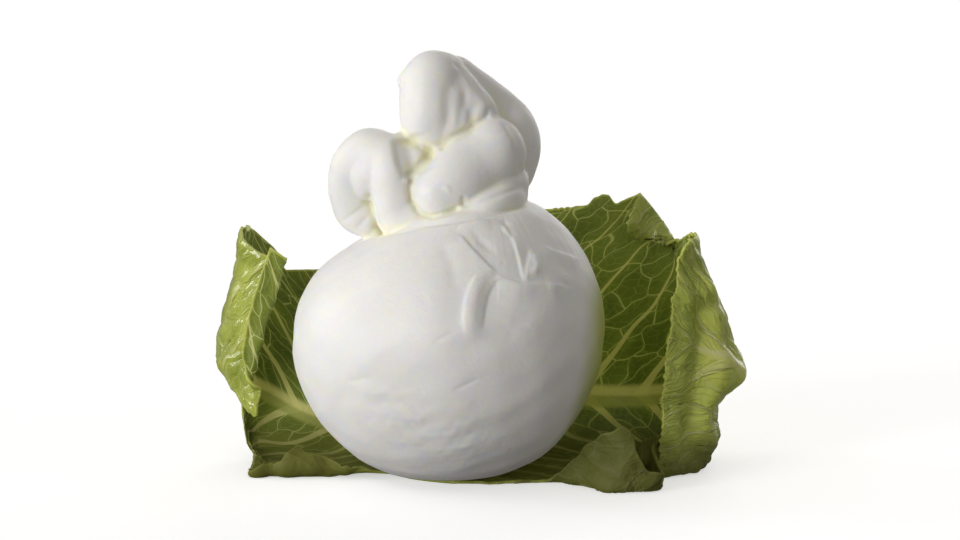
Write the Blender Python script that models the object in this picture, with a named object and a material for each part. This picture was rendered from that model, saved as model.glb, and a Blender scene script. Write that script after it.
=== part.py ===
"""Fresh pulled-curd cheese: a round ball, its neck tied in a fat knot, standing on two cupped lettuce leaves.

Run with: blender --background --python part.py
Units are metres, +Z is up and the front faces -Y. The origin is the bottom centre of the whole object's box.
"""

import math
from dataclasses import dataclass

import bmesh
import bpy
import numpy as np
from mathutils import Matrix, Vector

MM = 0.001

# Everything below is in millimetres from the spot on the floor under the ball. It is centred at the end.
BLADE_THICKNESS = 0.8
LEAF_GAP = 0.75  # between the two leaves where one lies on the other

# ---- cheese ----
BALL_RADIUS = 43.3
BALL_CENTRE = (-0.2, 0.0, 43.4)
BALL_REST_HEIGHT = 2.0 * BLADE_THICKNESS + LEAF_GAP + 0.35  # its flat spot, just clear of the upper leaf
BALL_SETTLE = 1.2  # how softly the flat spot blends into the round
SHOULDER_DROP = 0.27  # share of the radius by which the weight of the knot presses the top in
SHOULDER_AXIS_DEG = 115.0  # where it presses, seen from the front, from +X towards +Z
SHOULDER_WIDTH_DEG = 39.0
BELLY_SWELL = 0.018  # share of the radius by which the ball slumps towards the lower left
BELLY_AXIS_DEG = 216.0
BELLY_WIDTH_DEG = 34.0

# Each strand of the knot: stations of its centre line and its radius (x, y, z, radius).
NECK = ((8.0, 1.0, 62.0, 20.0), (9.4, 0.5, 68.5, 14.5), (10.4, 0.0, 75.5, 10.4), (11.0, 0.0, 84.0, 9.0))
LEFT_LOOP = (
    (-14.6, -8.0, 75.4, 5.2), (-14.6, -11.0, 80.5, 6.2), (-14.9, -11.0, 86.5, 6.6), (-16.2, -9.0, 91.6, 6.7),
    (-20.4, -6.0, 92.6, 7.2), (-25.0, -3.0, 88.6, 7.0), (-26.6, -1.0, 83.2, 6.2),
    (-26.2, 1.0, 77.4, 5.9), (-22.4, 2.0, 73.8, 5.2), (-16.0, 3.0, 73.2, 4.8),
)
LOOP_HEART = ((-21.0, 0.0, 84.0, 5.5), (-21.0, 0.0, 79.0, 5.0), (-19.0, 0.0, 76.0, 4.5))
FRONT_LOBE = (
    (9.8, -4.6, 100.6, 3.0), (10.8, -4.8, 96.8, 6.6), (10.8, -5.2, 92.6, 10.0), (6.8, -7.0, 88.9, 10.6),
    (1.8, -11.0, 86.0, 9.6), (-2.6, -13.8, 82.8, 7.1),
)
CROWN = (
    (-4.6, -4.0, 93.0, 5.6), (-5.2, -5.0, 98.0, 7.4), (-4.9, -5.0, 102.5, 8.7), (-4.3, -4.0, 107.0, 9.3),
    (-4.4, -3.0, 111.3, 8.8), (-2.0, -1.0, 113.4, 6.6),
)
CROWN_FLANK = (
    (-0.6, -2.0, 110.6, 7.2), (3.2, -2.8, 106.2, 7.6), (6.6, -2.8, 101.6, 7.6), (6.6, -3.0, 96.4, 7.6),
    (2.0, -4.0, 93.0, 7.0),
)
BACK_LOBE = (
    (1.6, 4.0, 111.2, 7.4), (7.5, 6.0, 105.8, 8.2), (11.8, 7.0, 100.4, 9.8), (14.6, 7.0, 95.0, 11.1),
    (14.2, 6.0, 88.8, 10.0), (12.0, 5.0, 82.6, 7.6),
)
COLLAR = (
    (-15.1, -8.0, 75.6, 3.8), (-7.7, -12.0, 75.4, 3.8), (0.5, -14.0, 76.2, 4.2),
    (8.6, -14.5, 78.4, 5.0), (14.8, -10.0, 80.8, 5.0), (17.6, 0.0, 81.4, 4.3), (15.0, 10.0, 80.6, 4.9),
    (8.6, 15.0, 79.4, 5.1), (-2.7, 14.0, 77.3, 5.1), (-12.3, 6.0, 75.8, 4.6),
)
HEART = ((-16.0, 0.0, 82.0, 6.0), (-6.0, -1.0, 86.0, 10.0), (6.0, 0.0, 88.0, 12.0))  # curd behind the lobes
STRANDS = (NECK, LEFT_LOOP, LOOP_HEART, FRONT_LOBE, CROWN, CROWN_FLANK, BACK_LOBE, COLLAR, HEART)
BEADS_PER_STATION = 7
FUSE_VOXEL = 1.1
FUSE_SMOOTHING = 5
CHEESE_TRIANGLES = 5700

# ---- lettuce leaves ----
RIB_THICKNESS = 3.0  # where the pale midrib runs, thickened on the leaf's outer side
WALL_LEAN_DEG = 3.0
LIP_RADIUS = 2.2
LIP_TURN_DEG = 104.0
RIPPLE = 1.5  # how far the loose parts of a blade ripple in and out
RIPPLE_LENGTHS = (16.0, 34.0)
RIB_WIDTH = 4.5
SLOPE_STEP = 0.4  # over which the direction of a blade's surface is measured
LEAF_COLUMNS, LEAF_ROWS = 40, 24
# Rows stand closer together at the front lip: (share of the rows, share of the width).
ROW_SPREAD = ((0.0, 0.0), (0.2, 0.08), (0.35, 0.22), (0.6, 0.55), (0.8, 0.8), (1.0, 1.0))


@dataclass(frozen=True)
class Look:
    """A plain surface."""

    name: str
    colour: tuple[float, float, float, float]
    roughness: float


CURD = Look("curd", (0.88, 0.87, 0.82, 1.0), 0.38)
LETTUCE = Look("lettuce", (0.16, 0.30, 0.05, 1.0), 0.5)


@dataclass(frozen=True)
class Fold:
    """A crease across a leaf: past it the blade turns over to its inner side, or outwards if turn is below 0.

    The crease runs between two (along, height) places on the standing part; `radius` is how sharp it is.
    """

    start: tuple[float, float]
    end: tuple[float, float]
    radius: float
    turn: float
    fade: tuple[float, float]  # how far past its start and its end the crease dies away


@dataclass(frozen=True)
class Ridge:
    """A rounded ridge, or a groove if its height is negative, along a line of (along, height) places."""

    line: tuple[tuple[float, float], ...]
    width: float
    height: float


@dataclass(frozen=True)
class Leaf:
    """A leaf as a strip that runs along a rail in plan, lies flat in front of it and stands up above it.

    Tables hold (along, value) pairs, with `along` in millimetres from the leaf's base end.
    """

    name: str
    rail: tuple[tuple[float, float], ...]  # where the standing part's foot runs, (x, y)
    facing: tuple[tuple[float, float], ...]  # degrees its inner side has turned from -Y to its base end
    side: float  # 1 if the far end is towards +X, -1 if towards -X
    lift: tuple[tuple[float, float], ...]  # 1 where it lies on the other leaf, 0 on the floor
    bend: tuple[tuple[float, float], ...]  # radius of the bend from lying to standing
    floor: tuple[tuple[float, float], ...]  # how far it lies in front of the bend, below 0 where it hangs
    lip: tuple[tuple[float, float], ...]  # how much of the front margin turns up
    top: tuple[tuple[float, float], ...]  # height of the upper margin
    end: tuple[tuple[float, float], ...]  # (share of the width, along) of the margin at the far end
    belly: tuple[tuple[float, float], ...]  # (height, sideways shift) of the curled end's outermost part
    rib: tuple[tuple[float, float], ...]  # where the midrib runs, measured up the bend
    rib_strength: tuple[tuple[float, float], ...]
    curl: tuple[float, float, float]  # along: where the curl begins, is outermost and ends
    density: tuple[tuple[float, float], ...]  # how close together the columns stand
    folds: tuple[Fold, ...]
    ridges: tuple[Ridge, ...]
    seed: int


RIGHT_LEAF = Leaf(
    name="leaf_right",
    rail=(
        (-18.0, 47.2), (0.0, 47.5), (20.0, 47.8), (40.0, 47.6), (52.0, 46.2), (62.0, 41.8),
        (70.0, 35.5), (76.6, 27.5), (78.2, 19.0), (76.2, 11.5), (70.6, 6.0), (66.5, 2.8), (62.5, 0.4),
        (58.0, -1.6),
    ),
    facing=(
        (0.0, 0.0), (70.0, 0.0), (80.0, 20.0), (90.0, 48.0), (100.0, 70.0), (109.0, 90.0),
        (117.0, 112.0), (124.0, 135.0), (132.0, 150.0), (150.0, 156.0),
    ),
    side=1.0,
    lift=((0.0, 0.0), (150.0, 0.0)),
    bend=((0.0, 22.0), (62.0, 22.0), (80.0, 17.0), (96.0, 9.0), (108.0, 5.0), (118.0, 3.0), (150.0, 2.5)),
    floor=(
        (0.0, 16.0), (8.0, 25.0), (18.0, 30.5), (30.0, 31.5), (38.0, 30.5), (48.0, 29.5), (54.0, 34.0),
        (58.0, 39.0), (62.0, 42.0), (66.0, 43.0), (70.0, 42.5), (73.0, 38.0), (75.0, 30.0),
        (77.0, 16.0), (80.0, 7.0), (85.0, 3.0), (95.0, 1.5), (110.0, 0.5), (150.0, 0.0),
    ),
    lip=(
        (0.0, 0.0), (46.0, 0.5), (52.0, 3.5), (56.0, 6.5), (60.0, 10.0), (64.0, 14.5), (67.0, 13.5),
        (70.0, 10.0), (73.0, 6.0), (76.0, 1.5), (79.0, 0.0),
    ),
    top=(
        (0.0, 34.0), (8.0, 52.0), (20.0, 63.0), (36.0, 70.0), (50.0, 71.0), (58.0, 72.2), (60.5, 74.4),
        (64.0, 75.2), (66.4, 72.4), (68.5, 73.6), (71.0, 74.6), (76.0, 76.0), (80.0, 76.5),
        (83.5, 75.0), (85.5, 70.0), (87.5, 64.0), (92.0, 63.0), (100.0, 65.0), (112.0, 66.0),
        (120.0, 66.5), (128.0, 66.0), (136.0, 63.5), (150.0, 62.0),
    ),
    end=((0.0, 135.0), (0.3, 137.5), (0.5, 137.5), (0.75, 135.5), (1.0, 132.0)),
    belly=(
        (0.0, -3.5), (4.5, -1.0), (9.0, 1.0), (14.0, -0.6), (18.0, -1.8), (22.0, 1.6), (28.0, 7.0),
        (30.5, 5.0), (34.5, -0.6), (38.0, 0.2), (42.0, 1.6), (46.0, 0.6), (52.0, -4.2), (60.0, -8.0),
        (68.0, -10.5),
    ),
    rib=((0.0, 24.0), (60.0, 28.0), (85.0, 26.0), (105.0, 31.0), (125.0, 36.0), (150.0, 38.0)),
    rib_strength=((0.0, 1.0), (70.0, 0.9), (100.0, 0.75), (112.0, 0.7), (124.0, 0.25), (132.0, 0.0)),
    curl=(76.0, 107.0, 137.0),
    density=((0.0, 0.5), (40.0, 0.7), (58.0, 1.1), (90.0, 1.3), (140.0, 1.3)),
    folds=(Fold(start=(70.0, 73.8), end=(86.0, 61.6), radius=1.6, turn=162.0, fade=(20.0, 3.0)),),
    ridges=(
        Ridge(line=((131.0, 8.0), (129.5, 25.0), (127.5, 42.0), (128.0, 50.0)), width=3.0, height=-2.2),
        Ridge(line=((124.0, 14.0), (122.5, 28.0), (121.0, 44.0)), width=3.2, height=2.0),
        Ridge(line=((109.0, 27.5), (114.0, 31.0), (121.0, 37.0), (127.0, 43.0)), width=2.4, height=-1.6),
        Ridge(line=((122.0, 52.0), (130.0, 50.0)), width=3.0, height=1.6),
    ),
    seed=3,
)

LEFT_LEAF = Leaf(
    name="leaf_left",
    rail=(
        (15.0, 47.2), (0.0, 47.5), (-20.0, 47.5), (-36.0, 47.3), (-48.0, 46.4), (-56.0, 43.0),
        (-61.8, 38.4), (-65.2, 32.0), (-66.3, 25.0), (-65.0, 18.0), (-61.5, 11.8), (-56.5, 7.4),
        (-50.5, 4.8), (-44.0, 3.4), (-36.0, 2.8),
    ),
    facing=(
        (0.0, 0.0), (71.0, 0.0), (76.5, 16.0), (84.0, 50.0), (93.0, 88.0), (102.0, 122.0),
        (110.0, 146.0), (120.0, 164.0), (140.0, 172.0),
    ),
    side=-1.0,
    lift=((0.0, 1.0), (37.0, 1.0), (50.0, 0.0), (150.0, 0.0)),
    bend=((0.0, 22.0), (56.0, 22.0), (72.0, 18.0), (86.0, 12.0), (100.0, 8.0), (150.0, 6.0)),
    floor=(
        (0.0, 3.0), (14.0, 18.0), (24.0, 23.0), (35.0, 22.5), (46.0, 21.0), (60.0, 21.0), (72.0, 20.0),
        (74.5, 15.0), (77.0, 1.0), (79.5, -14.0), (82.5, -27.0), (86.0, -32.0), (94.0, -34.0),
        (104.0, -27.0), (112.0, -22.0), (118.0, -20.0), (150.0, -20.0),
    ),
    lip=(
        (0.0, 0.0), (30.0, 0.0), (38.0, 1.5), (46.0, 4.0), (51.0, 6.5), (55.5, 7.0), (57.5, 9.5),
        (59.5, 7.5), (62.0, 4.5), (72.0, 3.5), (76.5, 0.0),
    ),
    top=(
        (0.0, 24.0), (10.0, 38.0), (24.0, 48.0), (44.0, 53.0), (63.5, 53.0), (65.0, 57.0), (67.0, 59.7),
        (71.0, 63.0), (75.0, 65.5), (83.0, 67.8), (90.0, 67.7), (97.0, 66.5), (103.0, 64.5),
        (110.0, 62.5), (120.0, 61.5), (150.0, 61.5),
    ),
    end=((0.0, 117.0), (0.2, 119.0), (0.37, 124.5), (0.7, 130.0), (1.0, 133.5)),
    belly=(
        (0.0, 4.0), (18.0, 5.4), (22.0, 4.8), (26.0, 2.0), (31.0, -1.4), (35.0, -0.8), (42.0, 1.8),
        (52.0, 4.2), (60.0, 6.2), (68.0, 8.2),
    ),
    rib=((0.0, 12.0), (50.0, 20.0), (74.0, 29.0), (90.0, 31.0), (110.0, 27.0), (150.0, 26.0)),
    rib_strength=((0.0, 0.0), (36.0, 0.0), (46.0, 0.9), (75.0, 0.8), (95.0, 0.5), (110.0, 0.0)),
    curl=(68.0, 93.0, 119.0),
    density=((0.0, 0.5), (34.0, 0.8), (52.0, 1.1), (90.0, 1.2), (135.0, 1.4)),
    folds=(Fold(start=(116.5, 31.0), end=(125.5, 61.5), radius=1.3, turn=-165.0, fade=(7.0, 20.0)),),
    ridges=(
        Ridge(line=((92.0, 31.0), (100.0, 34.0), (108.0, 37.0)), width=3.0, height=-1.2),
        Ridge(line=((98.0, 44.0), (108.0, 50.0)), width=4.0, height=1.0),
    ),
    seed=8,
)


def smoothstep(x):
    """0 below 0, 1 above 1, and a smooth rise between."""
    x = np.clip(x, 0.0, 1.0)
    return x * x * (3.0 - 2.0 * x)


def through(stations, x):
    """A smooth curve through (x, value) stations that never overshoots them, held level past both ends."""
    table = np.asarray(stations, float)
    knots, values = table[:, 0], table[:, 1:]
    rises = np.diff(values, axis=0) / np.diff(knots)[:, None]
    before, after = rises[:-1], rises[1:]
    alike = before * after > 0
    shared = np.where(alike, 2.0 * before * after / np.where(alike, before + after, 1.0), 0.0)
    slopes = np.concatenate([rises[:1], shared, rises[-1:]])
    x = np.clip(np.asarray(x, float), knots[0], knots[-1])
    cell = np.clip(np.searchsorted(knots, x, side="right") - 1, 0, len(knots) - 2)
    width = (knots[cell + 1] - knots[cell])[..., None]
    u = (x - knots[cell])[..., None] / width
    rise = values[cell + 1] - values[cell]
    start, end = slopes[cell] * width, slopes[cell + 1] * width
    blend = u * u * (3.0 - 2.0 * u) * rise + u * (1 - u) * ((1 - u) * start - u * end)
    return (values[cell] + blend)[..., 0] if values.shape[1] == 1 else values[cell] + blend


def new_object(name, bm):
    """A mesh object from a bmesh, which is freed."""
    mesh = bpy.data.meshes.new(name)
    bm.to_mesh(mesh)
    bm.free()
    obj = bpy.data.objects.new(name, mesh)
    bpy.context.scene.collection.objects.link(obj)
    return obj


def add_strand(bm, stations):
    """A strand of curd: overlapping beads along a smooth line, whose radius swells and tapers."""
    count = (len(stations) - 1) * BEADS_PER_STATION
    numbered = [(i, *station) for i, station in enumerate(stations)]
    for x, y, z, radius in through(numbered, np.linspace(0, len(stations) - 1, count)):
        place = Matrix.Translation(Vector((x, y, z)) * MM)
        bmesh.ops.create_icosphere(bm, subdivisions=3, radius=radius * MM, matrix=place)


def towards(direction, axis_deg, width_deg):
    """How strongly a direction from the ball's centre lies towards an axis in the front plane."""
    axis = np.array((math.cos(math.radians(axis_deg)), 0.0, math.sin(math.radians(axis_deg))))
    angle = np.degrees(np.arccos(np.clip(direction @ axis, -1.0, 1.0)))
    return np.exp(-((angle / width_deg) ** 2))


def add_ball(bm):
    """The ball: a sphere that the knot presses in at the top and that slumps a little at the lower left."""
    made = bmesh.ops.create_icosphere(bm, subdivisions=5, radius=1.0)
    for vert in made["verts"]:
        way = np.array(vert.co.normalized())
        share = 1.0 - SHOULDER_DROP * towards(way, SHOULDER_AXIS_DEG, SHOULDER_WIDTH_DEG)
        share += BELLY_SWELL * towards(way, BELLY_AXIS_DEG, BELLY_WIDTH_DEG)
        vert.co = (Vector(BALL_CENTRE) + Vector(way) * BALL_RADIUS * share) * MM


def settle(z):
    """Heights with everything below the resting spot pressed flat onto it."""
    over = (z - BALL_REST_HEIGHT) / BALL_SETTLE
    return BALL_REST_HEIGHT + BALL_SETTLE * np.where(over > 0, over * over / (1.0 + np.abs(over)), 0.0)


def evaluated_points(obj):
    """The object's mesh with its modifiers applied, as a new mesh, and its points in millimetres."""
    graph = bpy.context.evaluated_depsgraph_get()
    mesh = bpy.data.meshes.new_from_object(obj.evaluated_get(graph))
    points = np.empty(len(mesh.vertices) * 3)
    mesh.vertices.foreach_get("co", points)
    return mesh, points.reshape(-1, 3) / MM


def build_cheese():
    """The ball, its neck and the knot, fused into one piece of curd."""
    bm = bmesh.new()
    add_ball(bm)
    for strand in STRANDS:
        add_strand(bm, strand)
    cheese = new_object("cheese", bm)
    fuse = cheese.modifiers.new("fuse", "REMESH")
    fuse.mode = "VOXEL"
    fuse.voxel_size = FUSE_VOXEL * MM
    soften = cheese.modifiers.new("soften", "SMOOTH")
    soften.factor = 0.5
    soften.iterations = FUSE_SMOOTHING
    mesh, points = evaluated_points(cheese)
    points[:, 2] = settle(points[:, 2])
    mesh.vertices.foreach_set("co", (points * MM).ravel())
    cheese.modifiers.clear()
    cheese.data = mesh
    triangles = sum(len(p.vertices) - 2 for p in mesh.polygons)
    thin = cheese.modifiers.new("thin", "DECIMATE")
    thin.ratio = CHEESE_TRIANGLES / triangles
    return cheese


class Rail:
    """The line in plan that a leaf follows, by millimetres along it."""

    def __init__(self, leaf):
        numbered = [(i, *spot) for i, spot in enumerate(leaf.rail)]
        self.spots = through(numbered, np.linspace(0, len(leaf.rail) - 1, 800))
        steps = np.linalg.norm(np.diff(self.spots, axis=0), axis=1)
        self.along = np.concatenate([[0.0], np.cumsum(steps)])
        self.leaf = leaf

    def spot(self, along):
        """(x, y) at a distance along the rail."""
        return np.stack([np.interp(along, self.along, self.spots[:, i]) for i in (0, 1)], axis=-1)

    def inward(self, along):
        """The level direction that the leaf's inner side faces there."""
        turned = np.radians(through(self.leaf.facing, along))
        return np.stack([-self.leaf.side * np.sin(turned), -np.cos(turned)], axis=-1)


def steepness(leaf, along):
    """Radians from level of the standing part, which leans back except where it curls."""
    return np.radians(90.0 - WALL_LEAN_DEG * (1.0 - smoothstep((along - leaf.curl[0]) / 20.0)))


def cross_section(leaf, along, up):
    """(inward, height) of the inner side, `up` millimetres past the bend's start, below 0 on the floor."""
    bend = through(leaf.bend, along)
    floor = through(leaf.floor, along)
    lean = steepness(leaf, along)
    lowest = -np.maximum(floor, 0.0)
    knee = np.clip(up, 0.0, bend * lean)
    above = np.maximum(up - bend * lean, 0.0)
    turn = knee / bend
    inward = bend * (1.0 - np.sin(turn)) - above * np.cos(lean) - np.minimum(up, 0.0)
    height = bend * (1.0 - np.cos(turn)) + above * np.sin(lean)
    past = np.maximum(lowest - up, 0.0)  # the lip: past the end of the lying part it rolls up
    rolled = np.minimum(past / LIP_RADIUS, math.radians(LIP_TURN_DEG))
    beyond = past - rolled * LIP_RADIUS
    inward += LIP_RADIUS * np.sin(rolled) - past + beyond * np.cos(rolled)
    height += LIP_RADIUS * (1.0 - np.cos(rolled)) + beyond * np.sin(rolled)
    return inward, height


def waves(leaf, along, up, lengths, count=5):
    """A gentle seeded ripple between about -1 and 1."""
    rng = np.random.default_rng(leaf.seed)
    total = np.zeros_like(along)
    for _ in range(count):
        length = rng.uniform(*lengths)
        angle, phase = rng.uniform(0, math.tau, 2)
        total += np.sin((along * math.cos(angle) + up * math.sin(angle)) * math.tau / length + phase)
    return total / count


def flat_blade(leaf, rail, along, up):
    """Points of the leaf's inner side before its corners are folded."""
    lift = BLADE_THICKNESS + through(leaf.lift, along) * (BLADE_THICKNESS + LEAF_GAP)
    inward, height = cross_section(leaf, along, up)
    inward = inward + lift
    height = height + lift
    begin, middle, finish = leaf.curl
    shift = through(leaf.belly, height) * smoothstep((along - begin) / (middle - begin))
    shift *= smoothstep((finish - along) / (finish - middle))
    plan = rail.spot(along) + inward[..., None] * rail.inward(along)
    return np.stack([plan[..., 0] + shift, plan[..., 1], height], axis=-1)


def up_of_height(leaf, along, height):
    """How far up the cross-section a height on the standing part is."""
    bend = through(leaf.bend, along)
    lean = steepness(leaf, along)
    return bend * lean + (height - BLADE_THICKNESS - bend * (1.0 - np.cos(lean))) / np.sin(lean)


def folded_blade(leaf, rail, along, up):
    """Points of the leaf's inner side."""
    points = flat_blade(leaf, rail, along, up)
    for fold in leaf.folds:
        ends = np.array([(s, up_of_height(leaf, np.array(s), z)) for s, z in (fold.start, fold.end)])
        line = (ends[1] - ends[0]) / np.linalg.norm(ends[1] - ends[0])
        across = np.array((-line[1], line[0]))
        if across[0] < 0:
            across = -across
        spot = np.stack([along, up], axis=-1) - ends[0]
        reach = spot @ line
        near = smoothstep(1.0 + reach / fold.fade[0])
        near *= smoothstep(1.0 - (reach - np.linalg.norm(ends[1] - ends[0])) / fold.fade[1])
        past = np.maximum(spot @ across, 0.0)
        foot = ends[0] + reach[..., None] * line
        here = flat_blade(leaf, rail, *np.moveaxis(foot, -1, 0))
        ahead = flat_blade(leaf, rail, *np.moveaxis(foot + across * SLOPE_STEP, -1, 0)) - here
        beside = flat_blade(leaf, rail, *np.moveaxis(foot + line * SLOPE_STEP, -1, 0)) - here
        ahead /= np.linalg.norm(ahead, axis=-1, keepdims=True)
        normal = np.cross(beside, ahead)
        normal /= np.linalg.norm(normal, axis=-1, keepdims=True)
        inside = rail.inward(foot[..., 0])
        facing = np.sign((normal[..., :2] * inside).sum(-1))[..., None]
        normal *= facing * math.copysign(1.0, fold.turn)
        turned = np.minimum(past / fold.radius, math.radians(abs(fold.turn)) * near)
        rest = past - turned * fold.radius
        forward = fold.radius * np.sin(turned) + rest * np.cos(turned)
        lifted = fold.radius * (1.0 - np.cos(turned)) + rest * np.sin(turned)
        moved = here + forward[..., None] * ahead + lifted[..., None] * normal
        points = points + (moved - points) * ((past > 0) * np.minimum(near * 4.0, 1.0))[..., None]
    return points


def from_line(line, along, height):
    """Distance to a line of (along, height) places."""
    spots = np.stack([along, height], axis=-1)
    nearest = np.full(along.shape, np.inf)
    for start, end in zip(np.array(line), np.array(line)[1:]):
        way = end - start
        share = np.clip(((spots - start) @ way) / (way @ way), 0.0, 1.0)
        nearest = np.minimum(nearest, np.linalg.norm(spots - start - share[..., None] * way, axis=-1))
    return nearest


def relief(leaf, along, up, height):
    """How far the standing part swells to its inner side: ripples that grow to its margins, and ridges."""
    standing = smoothstep((up - 6.0) / 24.0) * smoothstep((along - 34.0) / 16.0)
    loose = 0.4 + smoothstep((along - leaf.curl[0]) / 20.0) * 0.6
    loose = loose + 1.2 * smoothstep(1.0 - (through(leaf.top, along) - height) / 14.0)
    swell = RIPPLE * standing * loose * waves(leaf, along, up, RIPPLE_LENGTHS)
    for ridge in leaf.ridges:
        swell = swell + ridge.height * np.exp(-((from_line(ridge.line, along, height) / ridge.width) ** 2))
    return swell


def blade(leaf, rail, along, up):
    """Points of the leaf's inner side, folded and rippled."""
    here = folded_blade(leaf, rail, along, up)
    ahead = folded_blade(leaf, rail, along + SLOPE_STEP, up) - here
    above = folded_blade(leaf, rail, along, up + SLOPE_STEP) - here
    normal = np.cross(above, ahead) * leaf.side
    normal /= np.maximum(np.linalg.norm(normal, axis=-1, keepdims=True), 1e-9)
    height = flat_blade(leaf, rail, along, up)[..., 2]
    return here + normal * relief(leaf, along, up, height)[..., None]


def leaf_domain(leaf, across_share, along_share):
    """(along, up) for a grid of shares of the leaf's width and length."""
    reach = through(leaf.end, across_share)
    spaced = np.linspace(0.0, 1.0, 400)
    closeness = through(leaf.density, spaced * leaf.end[-1][1])
    grown = np.concatenate([[0.0], np.cumsum((closeness[1:] + closeness[:-1]) / 2)])
    along = np.interp(along_share, grown / grown[-1], spaced) * reach
    floor = through(leaf.floor, along)
    low = -floor - np.where(floor > 0, through(leaf.lip, along), 0.0)
    high = up_of_height(leaf, along, through(leaf.top, along))
    return along, low + across_share * (high - low)


def build_leaf(leaf):
    """A thin, wavy solid: a grid of the inner side, thickened outwards and most along the midrib."""
    rail = Rail(leaf)
    shares = np.meshgrid(np.linspace(0, 1, LEAF_COLUMNS + 1), np.linspace(0, 1, LEAF_ROWS + 1), indexing="ij")
    along, up = leaf_domain(leaf, through(ROW_SPREAD, shares[1]), shares[0])
    points = blade(leaf, rail, along, up)
    near_rib = np.exp(-(((up - through(leaf.rib, along)) / RIB_WIDTH) ** 2))
    near_rib *= through(leaf.rib_strength, along)

    bm = bmesh.new()
    layer = bm.verts.layers.deform.verify()
    grid = [[bm.verts.new(spot * MM) for spot in column] for column in points]
    for column, weights in zip(grid, near_rib):
        for vert, weight in zip(column, weights):
            vert[layer][0] = float(weight)
    for left, right in zip(grid, grid[1:]):
        for i in range(LEAF_ROWS):
            corners = (left[i], right[i], right[i + 1], left[i + 1])
            bm.faces.new(corners if leaf.side > 0 else corners[::-1])
    bmesh.ops.triangulate(bm, faces=bm.faces[:], quad_method="SHORT_EDGE")
    obj = new_object(leaf.name, bm)
    obj.vertex_groups.new(name="midrib")
    thicken = obj.modifiers.new("thicken", "SOLIDIFY")
    thicken.thickness = RIB_THICKNESS * MM
    thicken.offset = -1.0
    thicken.vertex_group = "midrib"
    thicken.thickness_vertex_group = BLADE_THICKNESS / RIB_THICKNESS
    thicken.use_even_offset = False
    return obj


def finish(obj, look):
    """Gives the object its plain material and smooth shading."""
    material = bpy.data.materials.new(look.name)
    material.use_nodes = True
    surface = material.node_tree.nodes["Principled BSDF"]
    surface.inputs["Base Color"].default_value = look.colour
    surface.inputs["Roughness"].default_value = look.roughness
    obj.data.materials.append(material)
    for face in obj.data.polygons:
        face.use_smooth = True


def centre_on_floor(objects):
    """Moves the whole so that the middle of its box's bottom is the origin."""
    graph = bpy.context.evaluated_depsgraph_get()
    corners = [obj.matrix_world @ Vector(c) for obj in objects for c in obj.evaluated_get(graph).bound_box]
    low = Vector([min(c[i] for c in corners) for i in range(3)])
    high = Vector([max(c[i] for c in corners) for i in range(3)])
    move = Matrix.Translation(-Vector(((low.x + high.x) / 2, (low.y + high.y) / 2, low.z)))
    for obj in objects:
        obj.data.transform(move)


def clear_scene():
    """Removes whatever the startup file holds."""
    for obj in list(bpy.data.objects):
        bpy.data.objects.remove(obj)


def main():
    clear_scene()
    cheese = build_cheese()
    leaves = [build_leaf(leaf) for leaf in (LEFT_LEAF, RIGHT_LEAF)]
    centre_on_floor([cheese, *leaves])
    finish(cheese, CURD)
    for leaf in leaves:
        finish(leaf, LETTUCE)


main()
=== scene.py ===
"""Looks for a fresh pulled-curd cheese with a knotted neck, standing on two curled lettuce leaves.

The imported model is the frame. The curd and both leaves are modelled again in fine detail in the places of
their plain solids, and stand on a pale floor in soft studio light.
"""

import logging
import math
from collections.abc import Callable, Iterable, Sequence
from dataclasses import dataclass
from enum import Enum

import bpy
import numpy as np
from mathutils import Matrix, Vector


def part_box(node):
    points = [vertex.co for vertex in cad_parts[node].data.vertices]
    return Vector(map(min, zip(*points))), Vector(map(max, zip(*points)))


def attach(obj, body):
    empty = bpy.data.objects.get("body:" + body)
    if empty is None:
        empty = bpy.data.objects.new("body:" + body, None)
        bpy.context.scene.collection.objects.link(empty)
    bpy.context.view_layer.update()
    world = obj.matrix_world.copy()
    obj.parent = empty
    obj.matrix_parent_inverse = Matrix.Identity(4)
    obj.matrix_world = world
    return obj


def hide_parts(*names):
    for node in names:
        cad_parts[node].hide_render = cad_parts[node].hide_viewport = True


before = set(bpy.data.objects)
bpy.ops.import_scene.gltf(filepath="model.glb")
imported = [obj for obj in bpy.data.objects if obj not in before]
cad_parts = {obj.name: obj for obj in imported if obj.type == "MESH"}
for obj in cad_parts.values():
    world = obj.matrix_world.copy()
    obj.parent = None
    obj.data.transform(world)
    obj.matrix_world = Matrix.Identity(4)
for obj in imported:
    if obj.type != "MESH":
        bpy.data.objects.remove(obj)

MM = 0.001
BODY = "root"
BOX_TO_SPOT = (0.065, -0.01)  # millimetres from the middle of the cheese's box to the spot under its ball
FINE_NET = 3.1  # how much finer the leaves' second net of veins is than the first
log = logging.getLogger("cheese on lettuce")

Array = np.ndarray
Mesh = bpy.types.Mesh
Object = bpy.types.Object
Pair = tuple[float, float]
Triple = tuple[float, float, float]
Colour = Triple
Table = tuple[tuple[float, ...], ...]


def ease(x: Array) -> Array:
    """0 below 0, 1 above 1, and a smooth rise between."""
    x = np.clip(x, 0.0, 1.0)
    return x * x * (3.0 - 2.0 * x)


def bell(x: Array) -> Array:
    """1 at 0, falling smoothly to 0 on both sides."""
    return np.exp(-(x**2))


def unit(vectors: Array) -> Array:
    """The vectors at length 1."""
    return vectors / np.maximum(np.linalg.norm(vectors, axis=-1, keepdims=True), 1e-9)


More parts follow.
